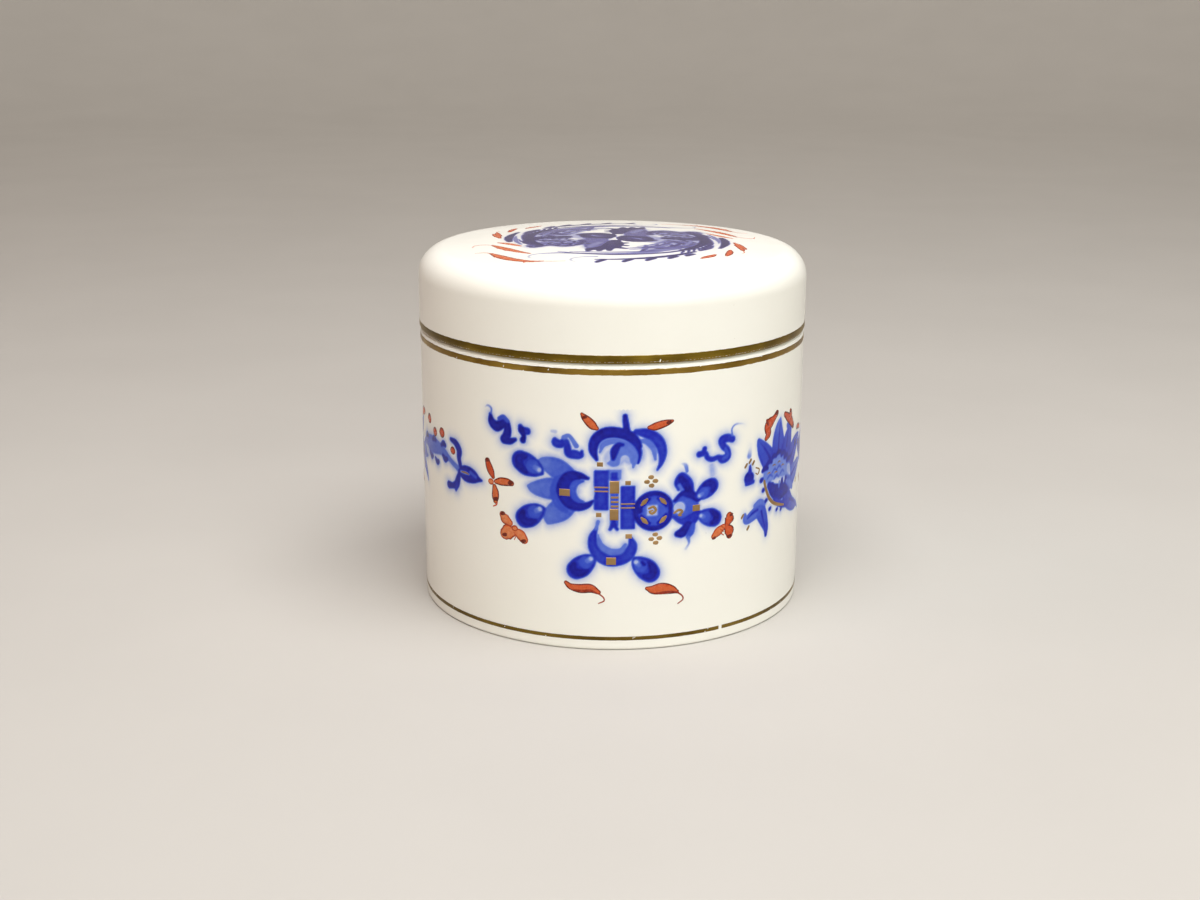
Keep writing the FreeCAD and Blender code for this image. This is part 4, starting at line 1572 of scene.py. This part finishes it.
# %% Buds
for x, y, size in (
    (28.2, 30.6, 1.3), (31.8, 29.4, 0.5), (32.5, 27.3, 0.45), (33.5, 25.0, 0.4), (34.9, 23.0, 0.4),
    (46.6, 33.4, 0.7), (37.6, 22.2, 0.35), (39.4, 21.8, 0.35),
):
    brush(DARK, (x - 0.1, y, size), (x + 0.2, y + 0.1, size * 0.8))
brush(DEEP, (28.3, 31.9, 0.5), (28.3, 32.9, 0.25))
brush(DEEP, (27.4, 29.6, 0.4), (29.3, 29.7, 0.4))
brush((0.3, 0.12), (28.0, 35.0, 0.7), (28.3, 36.8, 0.5), soft=0.8, haze=0.1)

wall.tell("buds")

# %% [markdown]
# Five pairs of scrolled leaves follow along a gently wavy stem. They point up and down in turn, and
# each has a dark root, a vein and a pale glint, so a loop draws them all.

# %% Scrolled leaves
for k in range(5):
    x, lift = 50.5 + 4.2 * k, 1.1 * math.cos(2.1 * k)
    y = 31.0 + lift
    up = 1 if k % 2 else -1
    pointed(
        (DEEP, SOFT), (x, y, 1.5), (x + 1.8, y + 2.2 * up, 1.3), (x + 3.6, y + 3.8 * up, 0.8),
        (x + 4.6, y + 5.2 * up, 0.25),
    )
    pointed(
        (MID, SOFT), (x + 0.6, y, 1.3), (x + 2.6, y - 1.6 * up, 1.0), (x + 4.4, y - 2.4 * up, 0.3),
    )
    brush(
        DARK, (x - 1.6, y - 0.9 * up, 0.5), (x + 0.2, y - 0.2, 0.85), (x + 2.2, y + 0.6 * up, 0.5),
        haze=0,
    )
    brush(
        DARK, (x + 0.6, y + 0.8 * up, 0.16), (x + 2.0, y + 2.4 * up, 0.2),
        (x + 3.8, y + 4.1 * up, 0.12), haze=0,
    )
    brush(0.2, (x + 1.6, y + 0.7 * up, 0.2), (x + 3.1, y + 2.4 * up, 0.18), haze=0)
    brush(DARK, (x + 1.4, y - 0.9 * up, 0.14), (x + 3.6, y - 2.0 * up, 0.12), haze=0)
    brush(DARK, (x + 3.2, y - 0.2, 0.5), (x + 3.4, y + 0.1, 0.4))

wall.tell("scrolled leaves")

# %% [markdown]
# The trail thins out to a star of three small leaves at the left of the next emblem. It is written
# with the distances from the emblem in front, which are negative, and moved one repeat on.

# %% Trail
def trail(tone, *points, **how):
    """A stroke of the trail, moved one repeat on."""
    brush(tone, *[(x + HALF_ROUND, y, width) for x, y, width in points], **how)


trail(
    (MID, SOFT), (-49.0, 31.5, 2.0), (-45.5, 33.2, 1.9), (-42.0, 33.6, 1.6), (-38.5, 33.4, 1.0),
    (-35.5, 32.2, 0.6), (-33.0, 31.2, 0.7), soft=0.7,
)
for x, y, up in (
    (-47.5, 34.6, 1), (-44.5, 31.0, -1), (-42.8, 35.0, 1), (-41.4, 30.6, -1), (-38.4, 35.0, 1),
    (-37.8, 32.0, -1),
):
    trail(DARK, (x - 0.9, y - 0.5 * up, 0.35), (x, y, 0.6), (x + 0.7, y - 0.2 * up, 0.45))
trail(0.16, (-48.4, 32.0, 0.5), (-47.2, 31.4, 0.9), (-46.4, 31.0, 0.5), soft=0.6, haze=0)
trail(
    DARK, (-35.4, 36.5, 0.4), (-33.8, 36.1, 0.7), (-32.7, 34.9, 0.8), (-32.8, 33.4, 0.6),
    (-32.4, 32.0, 0.5),
)
trail(
    DARK, (-36.4, 27.3, 0.75), (-35.0, 27.5, 0.6), (-33.8, 28.0, 0.8), (-33.2, 29.2, 0.7),
    (-32.8, 30.4, 0.4),
)
trail(DEEP, (-34.0, 26.9, 0.35), (-33.6, 28.0, 0.6))
trail(
    DARK, (-32.6, 30.8, 0.5), (-30.8, 30.8, 1.55), (-29.0, 30.7, 1.4), (-27.4, 30.4, 0.6),
    (-26.4, 30.3, 0.2),
)
trail(MID, (-29.4, 31.3, 0.4), (-28.0, 30.7, 0.35), haze=0)
trail(0.2, (-32.2, 30.9, 0.25), (-30.8, 30.9, 0.32), (-29.8, 30.8, 0.15), haze=0)
wall.tell("trail")

# %% [markdown]
# Red flames lick round the blossom, small leaves stand above and below the scrolls in turn, and
# berries hang along the trail. A berry is a dark spot with a smaller, paler one on it.

# %% Red flames and leaves
leaf(
    red, (36.5, 41.6, 0.45), (35.4, 40.8, 0.5), (34.2, 40.2, 0.95), (33.3, 39.6, 0.9),
    (33.6, 38.2, 0.7), (32.9, 37.4, 0.35), wash=0.6, line=0.9, tip=(36.3, 41.6, 0.45),
)
red.pull(0.85, (33.0, 40.8, 0.4), (33.4, 40.0, 0.3), level=3)
leaf(
    red, (40.0, 40.6, 0.4), (41.4, 39.8, 0.7), (43.0, 38.8, 0.8), (44.6, 37.4, 0.5), wash=0.62,
    line=0.9, tip=(44.4, 37.2, 0.45),
)
leaf(
    red, (42.7, 38.9, 0.5), (43.0, 40.0, 0.5), (42.7, 40.7, 0.3), wash=0.62, line=0.9,
    tip=(42.8, 40.6, 0.35),
)
leaf(red, (47.8, 36.2, 0.3), (48.8, 36.2, 0.45), (50.4, 35.8, 0.3), wash=0.6, line=0.9)
for k in range(4):
    x, side = 54.0 + 4.4 * k, 1 if k % 2 else -1
    y = 31.2 + 6.6 * side
    leaf(
        red, (x, y, 0.35), (x + 1.2, y + 0.7 * side, 0.75), (x + 2.6, y + 0.9 * side, 0.4),
        wash=0.5, line=0.85,
    )
print(f"{len(red.lines)} red strokes so far")

# %% Berries
for x, y, size in (
    (-45.4, 38.3, 0.95), (-42.2, 36.4, 0.85), (-38.9, 37.0, 0.95), (-34.8, 34.4, 0.7),
):
    red.spot(0.82, x + HALF_ROUND, y, size + 0.1)
    red.spot(0.55, x + HALF_ROUND, y - 0.05, size - 0.15, level=2)
print(f"{len(red.lines)} red strokes in all")

# %% Gold on the spray
gold.pull(
    0.5, (32.7, 29.0, 0.35), (33.4, 27.2, 0.36), (34.6, 25.2, 0.38), (36.4, 23.8, 0.36),
    (38.8, 22.9, 0.3), (40.6, 22.4, 0.2),
)
for x, y in ((27.2, 33.2), (28.3, 33.9), (29.2, 33.4), (26.6, 23.4), (28.2, 20.8), (48.2, 25.4)):
    gold.pull(0.35, (x - 0.2, y - 0.25, 0.26), (x + 0.2, y + 0.25, 0.26))
gold.pull(0.35, (30.0, 32.3, 0.14), (31.0, 31.8, 0.16), (30.6, 30.9, 0.14), (30.0, 31.2, 0.12))
star_vein = ((-32.0, 30.9, 0.12), (-30.8, 30.95, 0.2), (-29.9, 30.8, 0.1))
gold.pull(0.35, *[(x + HALF_ROUND, y, width) for x, y, width in star_vein])
for x, y in ((34.2, 30.2), (36.0, 31.4), (38.0, 31.6), (39.6, 30.6), (36.8, 29.8)):
    gold.pull(0.35, (x - 0.5, y, 0.1), (x, y + 0.2, 0.14), (x + 0.5, y, 0.1))
print(f"{len(gold.lines)} gold strokes in all")


# %% [markdown]
# ### From the sheet to the wall
# The sheet becomes four thin panels with a flat back, each bent on to the wall, and four more
# turned half way round. They fit edge to edge, a fiftieth of a millimetre above the glaze, so the
# wall stays one white surface with no seam to be seen. Panels are used because one mesh fine
# enough for the brushwork all the way round would be too heavy.

# %% A panel's mesh
FADE = 3.0  # mm over which a painted sheet sinks into the glaze at its edges
SINK = 0.004  # mm below the glaze at the very edge


def panel_mesh(name, x, y, cobalt, lift, depth):
    """A closed flat panel in mm: a fine front, and a back with one long face for each column.

    The front sinks into the glaze along its upper and lower edge, so no edge stands out.
    """
    rows, columns = x.shape
    inward = np.clip(np.minimum(y - y[0, 0], y[-1, 0] - y) / FADE, 0, 1)
    rise = lift * inward * inward * (3 - 2 * inward) - SINK * (1 - inward)
    front = np.stack((x, y, rise), -1).reshape(-1, 3)
    back = np.vstack([np.stack((x[k], y[k], np.full(columns, -depth)), -1) for k in (0, -1)])
    corner = np.arange(rows * columns).reshape(rows, columns)
    quads = np.stack((corner[:-1, :-1], corner[:-1, 1:], corner[1:, 1:], corner[1:, :-1]), -1)
    quads = quads.reshape(-1, 4)
    low = rows * columns + np.arange(columns)
    high = low + columns
    strips = [
        np.stack((low[1:], low[:-1], high[:-1], high[1:]), -1),
        np.stack((low[:-1], low[1:], corner[0, 1:], corner[0, :-1]), -1),
        np.stack((corner[-1, :-1], corner[-1, 1:], high[1:], high[:-1]), -1),
    ]
    ends = [[*corner[:, 0][::-1], low[0], high[0]][::-1], [*corner[:, -1], high[-1], low[-1]]]
    faces = quads.tolist() + np.vstack(strips).tolist() + [[int(i) for i in end] for end in ends]
    mesh = bpy.data.meshes.new(name)
    mesh.from_pydata((np.vstack((front, back)) * MM).tolist(), [], faces)
    paint = np.concatenate((cobalt.ravel(), np.zeros(2 * columns)))
    mesh.attributes.new("cobalt", "FLOAT", "POINT").data.foreach_set("value", paint)
    return mesh, len(quads)


painted = wall.cobalt()
print(f"cobalt on the wall, from {painted.min():.2f} to {painted.max():.2f}")

# %% Sharp sides for thin sheets
def crease_border(piece, front_faces):
    """Marks the edges of the sides and the back as sharp, so that light doesn't bend there."""
    mesh = piece.data
    edge_of = np.empty(len(mesh.loops), dtype=np.int32)
    mesh.loops.foreach_get("edge_index", edge_of)
    sharp = np.zeros(len(mesh.edges), dtype=bool)
    sharp[edge_of[mesh.polygons[front_faces].loop_start :]] = True
    marks = mesh.attributes
    crease = marks.get("sharp_edge") or marks.new("sharp_edge", "BOOLEAN", "EDGE")
    crease.data.foreach_set("value", sharp)
    print(f"{piece.name}: {sharp.sum()} sharp edges")


# %% The eight panels
PANEL_LIFT, PANEL_DEPTH = 0.02, 0.2  # mm above the glaze, and mm below it for the flat back

for k in range(PANELS):
    part = slice(k * across_panel, (k + 1) * across_panel + 1)
    for turned_by in (0, 1):
        name = f"wall_painting_{k + 1 + PANELS * turned_by}"
        x, y, paint = wall.x[:, part], wall.y[:, part], painted[:, part]
        flat, fine = panel_mesh(name, x, y, paint, PANEL_LIFT, PANEL_DEPTH)
        settings = {"Radius": WALL_RADIUS * MM, "Turned": turned_by * math.pi, "Finish": PORCELAIN}
        panel = shaped(name, flat, (ON_WALL, settings))
        crease_border(panel, fine)
        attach(panel, "cup")

# %% [markdown]
# The red and the gold go on over the panels. Both sets of strokes take the same two steps: swept
# and pressed flat, then bent on to the wall twice, front and back.

# %% Red and gold on the wall
LAYER = 0.012  # mm from one layer of enamel to the next
wall_settings = {"Radius": (WALL_RADIUS + PANEL_LIFT) * MM, "Twice": 1}
for name, strokes, finish, slot in (
    ("wall_iron_red", red, IRON_RED, "iron_red_enamel"),
    ("wall_gold_touches", gold, DULL_GOLD, "burnished_gilding"),
):
    film = (PAINTED_FILM, {"Film": FILM * MM, "Finish": finish})
    bend = (ON_WALL, {**wall_settings, "Finish": finish})
    piece = shaped(name, enamel_mesh(name, strokes, LAYER), film, bend)
    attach(piece, "cup")

# %% [markdown]
# ### The medallion on the lid
# The lid carries a round medallion of two feathered plumes that chase each other, each the other
# turned half way round. Every stroke is therefore laid twice. The sheet is a disc of rings, which
# has its points closest where the curls are, and it settles on the dome as one thin piece.

# %% The lid's sheet
PLUME_CENTRE = 0.8  # mm that the medallion sits to the right of the crown
DISC_REACH = 27.5
RING_STEP = 0.21
SPOKES = 700  # points round each ring

rings = np.arange(1, round(DISC_REACH / RING_STEP) + 1) * RING_STEP
turns = np.arange(SPOKES) * 2 * math.pi / SPOKES
ring_of, turn_of = np.meshgrid(rings, turns, indexing="ij")
half_turn = [(1, 0.0), (-1, 2 * PLUME_CENTRE)]
lid_sheet = Sheet(ring_of * np.cos(turn_of), ring_of * np.sin(turn_of), half_turn)
print(f"lid sheet: {lid_sheet.x.size} points")

# %% Broad feathers at the root
plume = lid_sheet.brush
plume(
    PALE, (5.0, 1.0, 3.0), (8.0, -2.0, 3.0), (12.5, -3.0, 4.5), (14.0, 3.0, 3.5), (11.0, 6.5, 3.0),
    (6.5, 6.0, 3.0), (4.5, 9.5, 2.2), soft=1.2,
)
plume(MID, (4.8, 11.0, 2.2), (4.6, 7.6, 2.5), (4.6, 3.0, 2.2), (5.4, -1.8, 2.4), soft=0.8)
plume(
    DARK, (1.2, 4.8, 1.0), (1.3, 8.0, 1.8), (2.2, 11.2, 1.9), (4.4, 13.0, 1.3), (6.0, 13.4, 0.9),
    haze=0.1,
)
for x, y, dx, dy in (
    (5.8, 13.4, 0.5, 1.7), (4.0, 13.4, 0.2, 1.6), (2.2, 12.8, 0.1, 2.0), (0.6, 12.0, -1.4, 0.8),
    (0.3, 9.6, -1.4, 0.3), (0.3, 7.4, -1.4, -0.3), (0.9, 4.8, -0.7, -1.1),
):
    plume(DARK, (x, y, 0.8), (x + dx, y + dy, 0.45), haze=0.1)
plume(SOFT, (4.2, 6.6, 0.7), (5.4, 9.4, 0.8), (6.0, 11.4, 0.5), soft=0.6, haze=0)
lid_sheet.tell("broad feathers")

# %% Curled feathers
plume(
    DARK, (2.4, 1.4, 0.6), (1.9, -0.8, 1.1), (2.6, -3.0, 1.4), (4.4, -4.2, 1.5), (6.4, -4.0, 1.3),
    (8.2, -3.2, 0.6), haze=0.1,
)
plume(DARK, (3.6, 0.8, 0.9), (5.2, 0.2, 1.2), (6.8, -0.8, 1.0), (7.4, -2.4, 0.6), haze=0.1)
plume(DEEP, (4.0, -1.6, 1.3), (5.4, -2.2, 1.0), haze=0)
plume(SOFT, (4.0, -0.9, 0.3), (5.0, -1.5, 0.5), (5.6, -2.6, 0.35), haze=0)
plume(
    DEEP, (7.5, 3.6, 0.7), (7.8, 7.6, 0.9), (10.6, 10.0, 0.7), (13.6, 8.8, 0.6), (16.6, 10.2, 0.6),
    (17.8, 8.6, 0.5),
)
plume(MID, (9.6, 7.6, 1.3), (12.6, 7.4, 1.3), (15.4, 6.4, 1.2), soft=0.7)
plume(SOFT, (9.8, 4.8, 0.9), (12.6, 4.6, 1.0), (15.0, 3.2, 0.8), soft=0.7)
plume(DARK, (10.8, -0.6, 1.3), (13.2, -0.4, 1.7), (15.8, -0.4, 1.6), (17.4, 1.6, 1.2))
plume(MID, (11.2, -4.2, 1.3), (13.6, -5.4, 1.6), (15.4, -8.2, 1.4), (14.8, -11.2, 1.0), soft=0.7)
lid_sheet.tell("curled feathers")

# %% [markdown]
# Everything further out runs round the middle of the medallion, so it is easier to say in polar
# coordinates: how far out, and at what angle. Seven short feathers and three rows of scales follow
# this rule. A scale is a small dark arch with a pale dab under it.

# %% Short feathers
def round_medallion(reach, angle):
    """The place at a reach in mm and an angle in radians from the medallion's middle."""
    return PLUME_CENTRE + reach * math.cos(angle), reach * math.sin(angle)


for k in range(7):
    angle = 0.42 - 0.24 * k
    root, tip = round_medallion(10.6, angle), round_medallion(16.6, angle - 0.28)
    halfway = ((root[0] + tip[0]) / 2 + 0.4, (root[1] + tip[1]) / 2)
    plume(DEEP, (*root, 0.25), (*halfway, 0.5), (*tip, 0.3), haze=0.1)
lid_sheet.tell("short feathers")

# %% Scales
SCALE = (
    (-0.95, -0.7, 0.14), (-0.7, 0.2, 0.24), (0.0, 0.6, 0.3), (0.7, 0.2, 0.24), (0.95, -0.7, 0.14),
)
for row, reach in enumerate((9.6, 12.0, 14.2)):
    for k in range(5):
        angle = math.radians(50 - 12.5 * k - 4.5 * row)
        out, over = (math.cos(angle), math.sin(angle)), (-math.sin(angle), math.cos(angle))
        scale = []
        for side, up, width in SCALE:
            x, y = round_medallion(reach + up, angle)
            scale.append((x + side * over[0], y + side * over[1], width))
        plume(DARK, *scale, soft=0.35, haze=0)
        x, y = scale[2][:2]
        inside = (x - 0.9 * out[0], y - 0.9 * out[1], 0.16)
        plume(BARE_TONE, (x, y, 0.01), inside, soft=0.4, haze=0)
lid_sheet.tell("scales")

# %% [markdown]
# The tail feathers sweep round the medallion in long arcs that drift outwards. Each swells soon
# after its root and thins to its tip. Tone, reach, angles and width are all that differ.

# %% Sweeping tail feathers
def sweep(tone, radius, start, stop, width, drift=0.0):
    """A feather that runs round the medallion, by degrees from its right side, and drifts out."""
    points = []
    for share in np.linspace(0, 1, 7):
        angle = math.radians(start + (stop - start) * share)
        place = round_medallion(radius + drift * share, angle)
        half_width = width * (0.35 + 0.65 * math.sin(math.pi * min(1.0, 0.12 + 0.9 * share)))
        points.append((*place, half_width))
    plume(tone, *points, soft=0.4, haze=0.14)


for feather in (
    (DARK, 16.8, 30, -48, 1.0, 1.2), (DEEP, 17.8, 34, -36, 0.7, 1.6),
    (SOFT, 19.6, 20, -30, 0.5, 0.6), (DARK, 21.0, 8, -26, 0.85, 0.9),
    (DEEP, 19.8, -22, -40, 0.75, 0.6), (SOFT, 14.6, -8, -72, 0.6, 2.6),
    (MID, 15.0, -34, -84, 0.55, 1.4), (SOFT, 16.2, -46, -112, 0.55, 2.2),
    (MID, 18.2, -50, -126, 0.4, 0.6), (DARK, 20.4, -44, -100, 0.6, 2.6),
):
    sweep(*feather)
lid_sheet.tell("tail feathers")

# %% Long thin feathers and their hooks
plume(
    DEEP, (15.6, -11.4, 0.3), (10.0, -16.0, 0.42), (5.0, -17.8, 0.42), (0.0, -18.5, 0.4),
    (-5.0, -17.5, 0.36), (-10.0, -16.6, 0.3), (-13.0, -16.6, 0.15), soft=0.45, haze=0.08,
)
plume(
    MID, (14.4, -9.8, 0.3), (9.0, -14.2, 0.42), (4.0, -15.9, 0.38), (-2.0, -16.4, 0.32),
    (-8.0, -15.4, 0.15), soft=0.45, haze=0.08,
)
for angle in (-52, -63, -75, -86, -98):
    x, y = round_medallion(21.4 + (-44 - angle) * 0.046, math.radians(angle))
    plume(
        DARK, (x + 0.8, y + 0.6, 0.5), (x - 0.1, y - 0.5, 0.55), (x - 0.5, y - 1.4, 0.3), haze=0.1,
    )
plume(
    (0.4, 0.2), (-3.0, -20.4, 0.3), (-5.4, -20.4, 0.28), (-7.4, -21.4, 0.28), (-7.8, -23.0, 0.3),
    (-7.0, -24.4, 0.2), soft=0.5, haze=0.05,
)
plume(
    (0.4, 0.2), (-10.5, -16.6, 0.4), (-13.6, -16.8, 0.3), (-15.4, -18.0, 0.28), (-15.6, -19.8, 0.3),
    (-15.0, -20.6, 0.2), soft=0.5, haze=0.05,
)
lid_sheet.tell("thin feathers")

# %% Barbs and the last feathers
BARB = ((0.0, 0.0, 0.14), (1.5, 0.05, 0.24), (2.7, 0.13, 0.12))  # up, lag in radians, half width

for k in range(15):
    angle, reach = math.radians(24 - 5 * k), 16.2 + 0.09 * k
    barb = [(*round_medallion(reach + up, angle - lag), width) for up, lag, width in BARB]
    plume(DARK, *barb, soft=0.35, haze=0)
for reach, start, stop, tone in (
    (10.2, -26, -70, SOFT), (11.6, -22, -84, MID), (12.8, -34, -80, SOFT), (13.8, -24, -66, DEEP),
    (15.8, -20, -62, MID), (16.8, -56, -84, SOFT),
):
    sweep(tone, reach, start, stop, 0.55, 1.2)
plume(MID, (6.0, -12.2, 0.4), (8.6, -11.4, 0.8), (11.6, -10.4, 0.6), (14.0, -8.6, 0.3))
plume(SOFT, (6.4, -13.8, 0.4), (9.4, -13.4, 0.7), (12.6, -12.0, 0.4))
plume(
    0.08, (19.2, 2.8, 0.2), (20.0, -2.0, 0.45), (20.0, -7.0, 0.5), (19.2, -12.0, 0.4),
    (18.4, -15.0, 0.2), haze=0,
)
lid_sheet.tell("medallion")

# %% [markdown]
# The painted disc becomes one thin piece like the wall's panels: fine rings in front that sink into
# the glaze at the edge, and a flat back that needs only one ring of long faces.

# %% The painted disc
disc_rows = np.vstack((np.zeros(SPOKES), lid_sheet.x)), np.vstack((np.zeros(SPOKES), lid_sheet.y))
strength = lid_sheet.cobalt()
disc_paint = np.vstack((np.full(SPOKES, strength[0].mean()), strength))


def disc_mesh(name, x, y, paint, lift, depth):
    """A closed flat disc in mm: fine rings in front, and one ring of long faces behind."""
    inward = np.clip((rings[-1] - rings) / FADE, 0, 1)[:, None]
    rise = lift * inward - SINK * (1 - inward)
    front = np.stack((x[1:], y[1:], np.broadcast_to(rise, x[1:].shape)), -1).reshape(-1, 3)
    centre, behind = len(front), len(front) + 1
    rim = np.stack((x[-1], y[-1], np.full(SPOKES, -depth)), -1)
    points = np.vstack((front, [[0, 0, lift]], [[0, 0, -depth]], rim))
    ring = np.arange(len(front)).reshape(-1, SPOKES)
    nxt = np.roll(ring, -1, axis=1)
    quads = np.stack((ring[:-1], ring[1:], nxt[1:], nxt[:-1]), -1).reshape(-1, 4)
    under = behind + 1 + np.arange(SPOKES)
    under_next = np.roll(under, -1)
    edge = np.stack((ring[-1], under, under_next, nxt[-1]), -1)
    faces = quads.tolist() + [[centre, int(a), int(b)] for a, b in zip(ring[0], nxt[0])]
    fine = len(faces)
    faces += edge.tolist() + [[behind, int(b), int(a)] for a, b in zip(under, under_next)]
    mesh = bpy.data.meshes.new(name)
    mesh.from_pydata((points * MM).tolist(), [], faces)
    laid = np.concatenate((paint[1:].ravel(), [paint[0, 0], 0.0], np.zeros(SPOKES)))
    mesh.attributes.new("cobalt", "FLOAT", "POINT").data.foreach_set("value", laid)
    return mesh, fine


print(f"cobalt on the lid, from {disc_paint.min():.2f} to {disc_paint.max():.2f}")

# %% The painting on the dome
DISC_LIFT, DISC_DEPTH = 0.006, 0.1

flat, fine = disc_mesh("lid_painting", *disc_rows, disc_paint, DISC_LIFT, DISC_DEPTH)
dome = {"Radius": DOME_RADIUS * MM, "Crown": (CROWN - FILM) * MM, "Finish": LID_PORCELAIN}
medallion = shaped("lid_painting", flat, (ON_DOME, dome))
crease_border(medallion, fine)
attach(medallion, "lid")

# %% [markdown]
# ### Flames on the lid
# Red flames chase each other round the plumes. A flame is a leaf with small thorns on its back, and
# some end in a thin curling tail. They are pulled twice, like the blue strokes.

# %% Flames, thorns and tails
lid_red = Enamel()


def both_ways(*points):
    """Lid strokes are laid twice, the second turned half way round the medallion."""
    return points, [(2 * PLUME_CENTRE - x, -y, width) for x, y, width in points]


def flame(wash, *points, line=0.72, thorns=()):
    """A pair of red leaves; thorns are given as (x, y, dx, dy)."""
    for stroke in both_ways(*points):
        leaf(lid_red, *stroke, wash=wash, line=line)
    for x, y, dx, dy in thorns:
        thorn = ((x, y, 0.42), (x + dx / 2, y + dy / 2, 0.32), (x + dx, y + dy, 0.1))
        for stroke in both_ways(*thorn):
            lid_red.pull(wash + 0.12, *stroke, level=2)


def tail(*points):
    """A pair of thin red tails."""
    for stroke in both_ways(*points):
        lid_red.pull(0.45, *stroke)


print(f"each stroke is laid {len(both_ways())} times")

# %% Large flames on the left
flame(
    0.4, (-15.6, -16.3, 0.15), (-17.6, -14.4, 0.5), (-20.0, -11.4, 0.8), (-21.8, -8.6, 0.6),
    (-23.2, -6.2, 0.15), thorns=((-20.6, -10.2, -1.6, 0.2), (-19.2, -12.6, -1.4, 0.0)),
)
tail((-23.0, -6.5, 0.16), (-24.8, -5.2, 0.14), (-26.6, -5.6, 0.13), (-27.0, -7.4, 0.1))
flame(
    0.42, (-13.0, -23.3, 0.15), (-15.6, -23.0, 0.5), (-18.8, -20.8, 0.8), (-21.2, -17.8, 0.75),
    (-23.0, -14.6, 0.15),
    thorns=((-20.6, -18.6, -1.7, 0.4), (-18.4, -21.0, -1.3, -0.3), (-16.0, -22.8, -0.4, -1.2)),
)
tail((-13.4, -23.3, 0.16), (-11.0, -23.6, 0.13), (-8.8, -23.6, 0.1))
tail((-22.8, -14.8, 0.16), (-24.2, -13.6, 0.14), (-26.0, -13.6, 0.1))
flame(
    0.34, (-17.6, -8.6, 0.15), (-19.4, -6.4, 0.5), (-21.0, -4.6, 0.45), (-22.2, -3.6, 0.12),
    line=0.6,
)
print(f"{len(lid_red.lines)} red strokes on the lid so far")

# %% Small flames on the right
flame(0.5, (23.8, -4.8, 0.15), (24.4, -7.0, 0.42), (24.8, -9.6, 0.3), (24.9, -10.6, 0.1))
tail((24.9, -10.4, 0.14), (25.0, -12.0, 0.12), (24.6, -13.2, 0.1))
flame(0.55, (22.4, -10.8, 0.15), (22.2, -12.8, 0.5), (21.7, -15.2, 0.42), (21.3, -16.6, 0.12))
flame(0.5, (19.2, -16.0, 0.15), (18.4, -17.4, 0.52), (17.2, -18.9, 0.45), (16.4, -20.0, 0.12))
flame(0.45, (-22.2, 2.2, 0.15), (-22.8, 4.4, 0.5), (-23.5, 7.0, 0.4), (-23.9, 8.8, 0.12))

print(f"{len(lid_red.lines)} red strokes on the lid in all")

# %% The flames on the dome
LID_LAYER = 0.006

film = (PAINTED_FILM, {"Film": 0.7 * FILM * MM, "Finish": IRON_RED})
settle = (ON_DOME, {**dome, "Finish": IRON_RED})
strokes = enamel_mesh("lid_iron_red", lid_red, LID_LAYER)
flames = shaped("lid_iron_red", strokes, film, settle)
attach(flames, "lid")

# %% [markdown]
# ## Measure and finish
# Both boxes, the designed one and the painted one, are printed in mm. The painted box may
# not be larger than the designed one.

# %% Sizes of both boxes
sizes = {"cad": [list(v) for v in cad_box], "visual": [list(v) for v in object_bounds()]}
for label, (low, high) in sizes.items():
    print(label, [round((b - a) / MM, 2) for a, b in zip(low, high)])
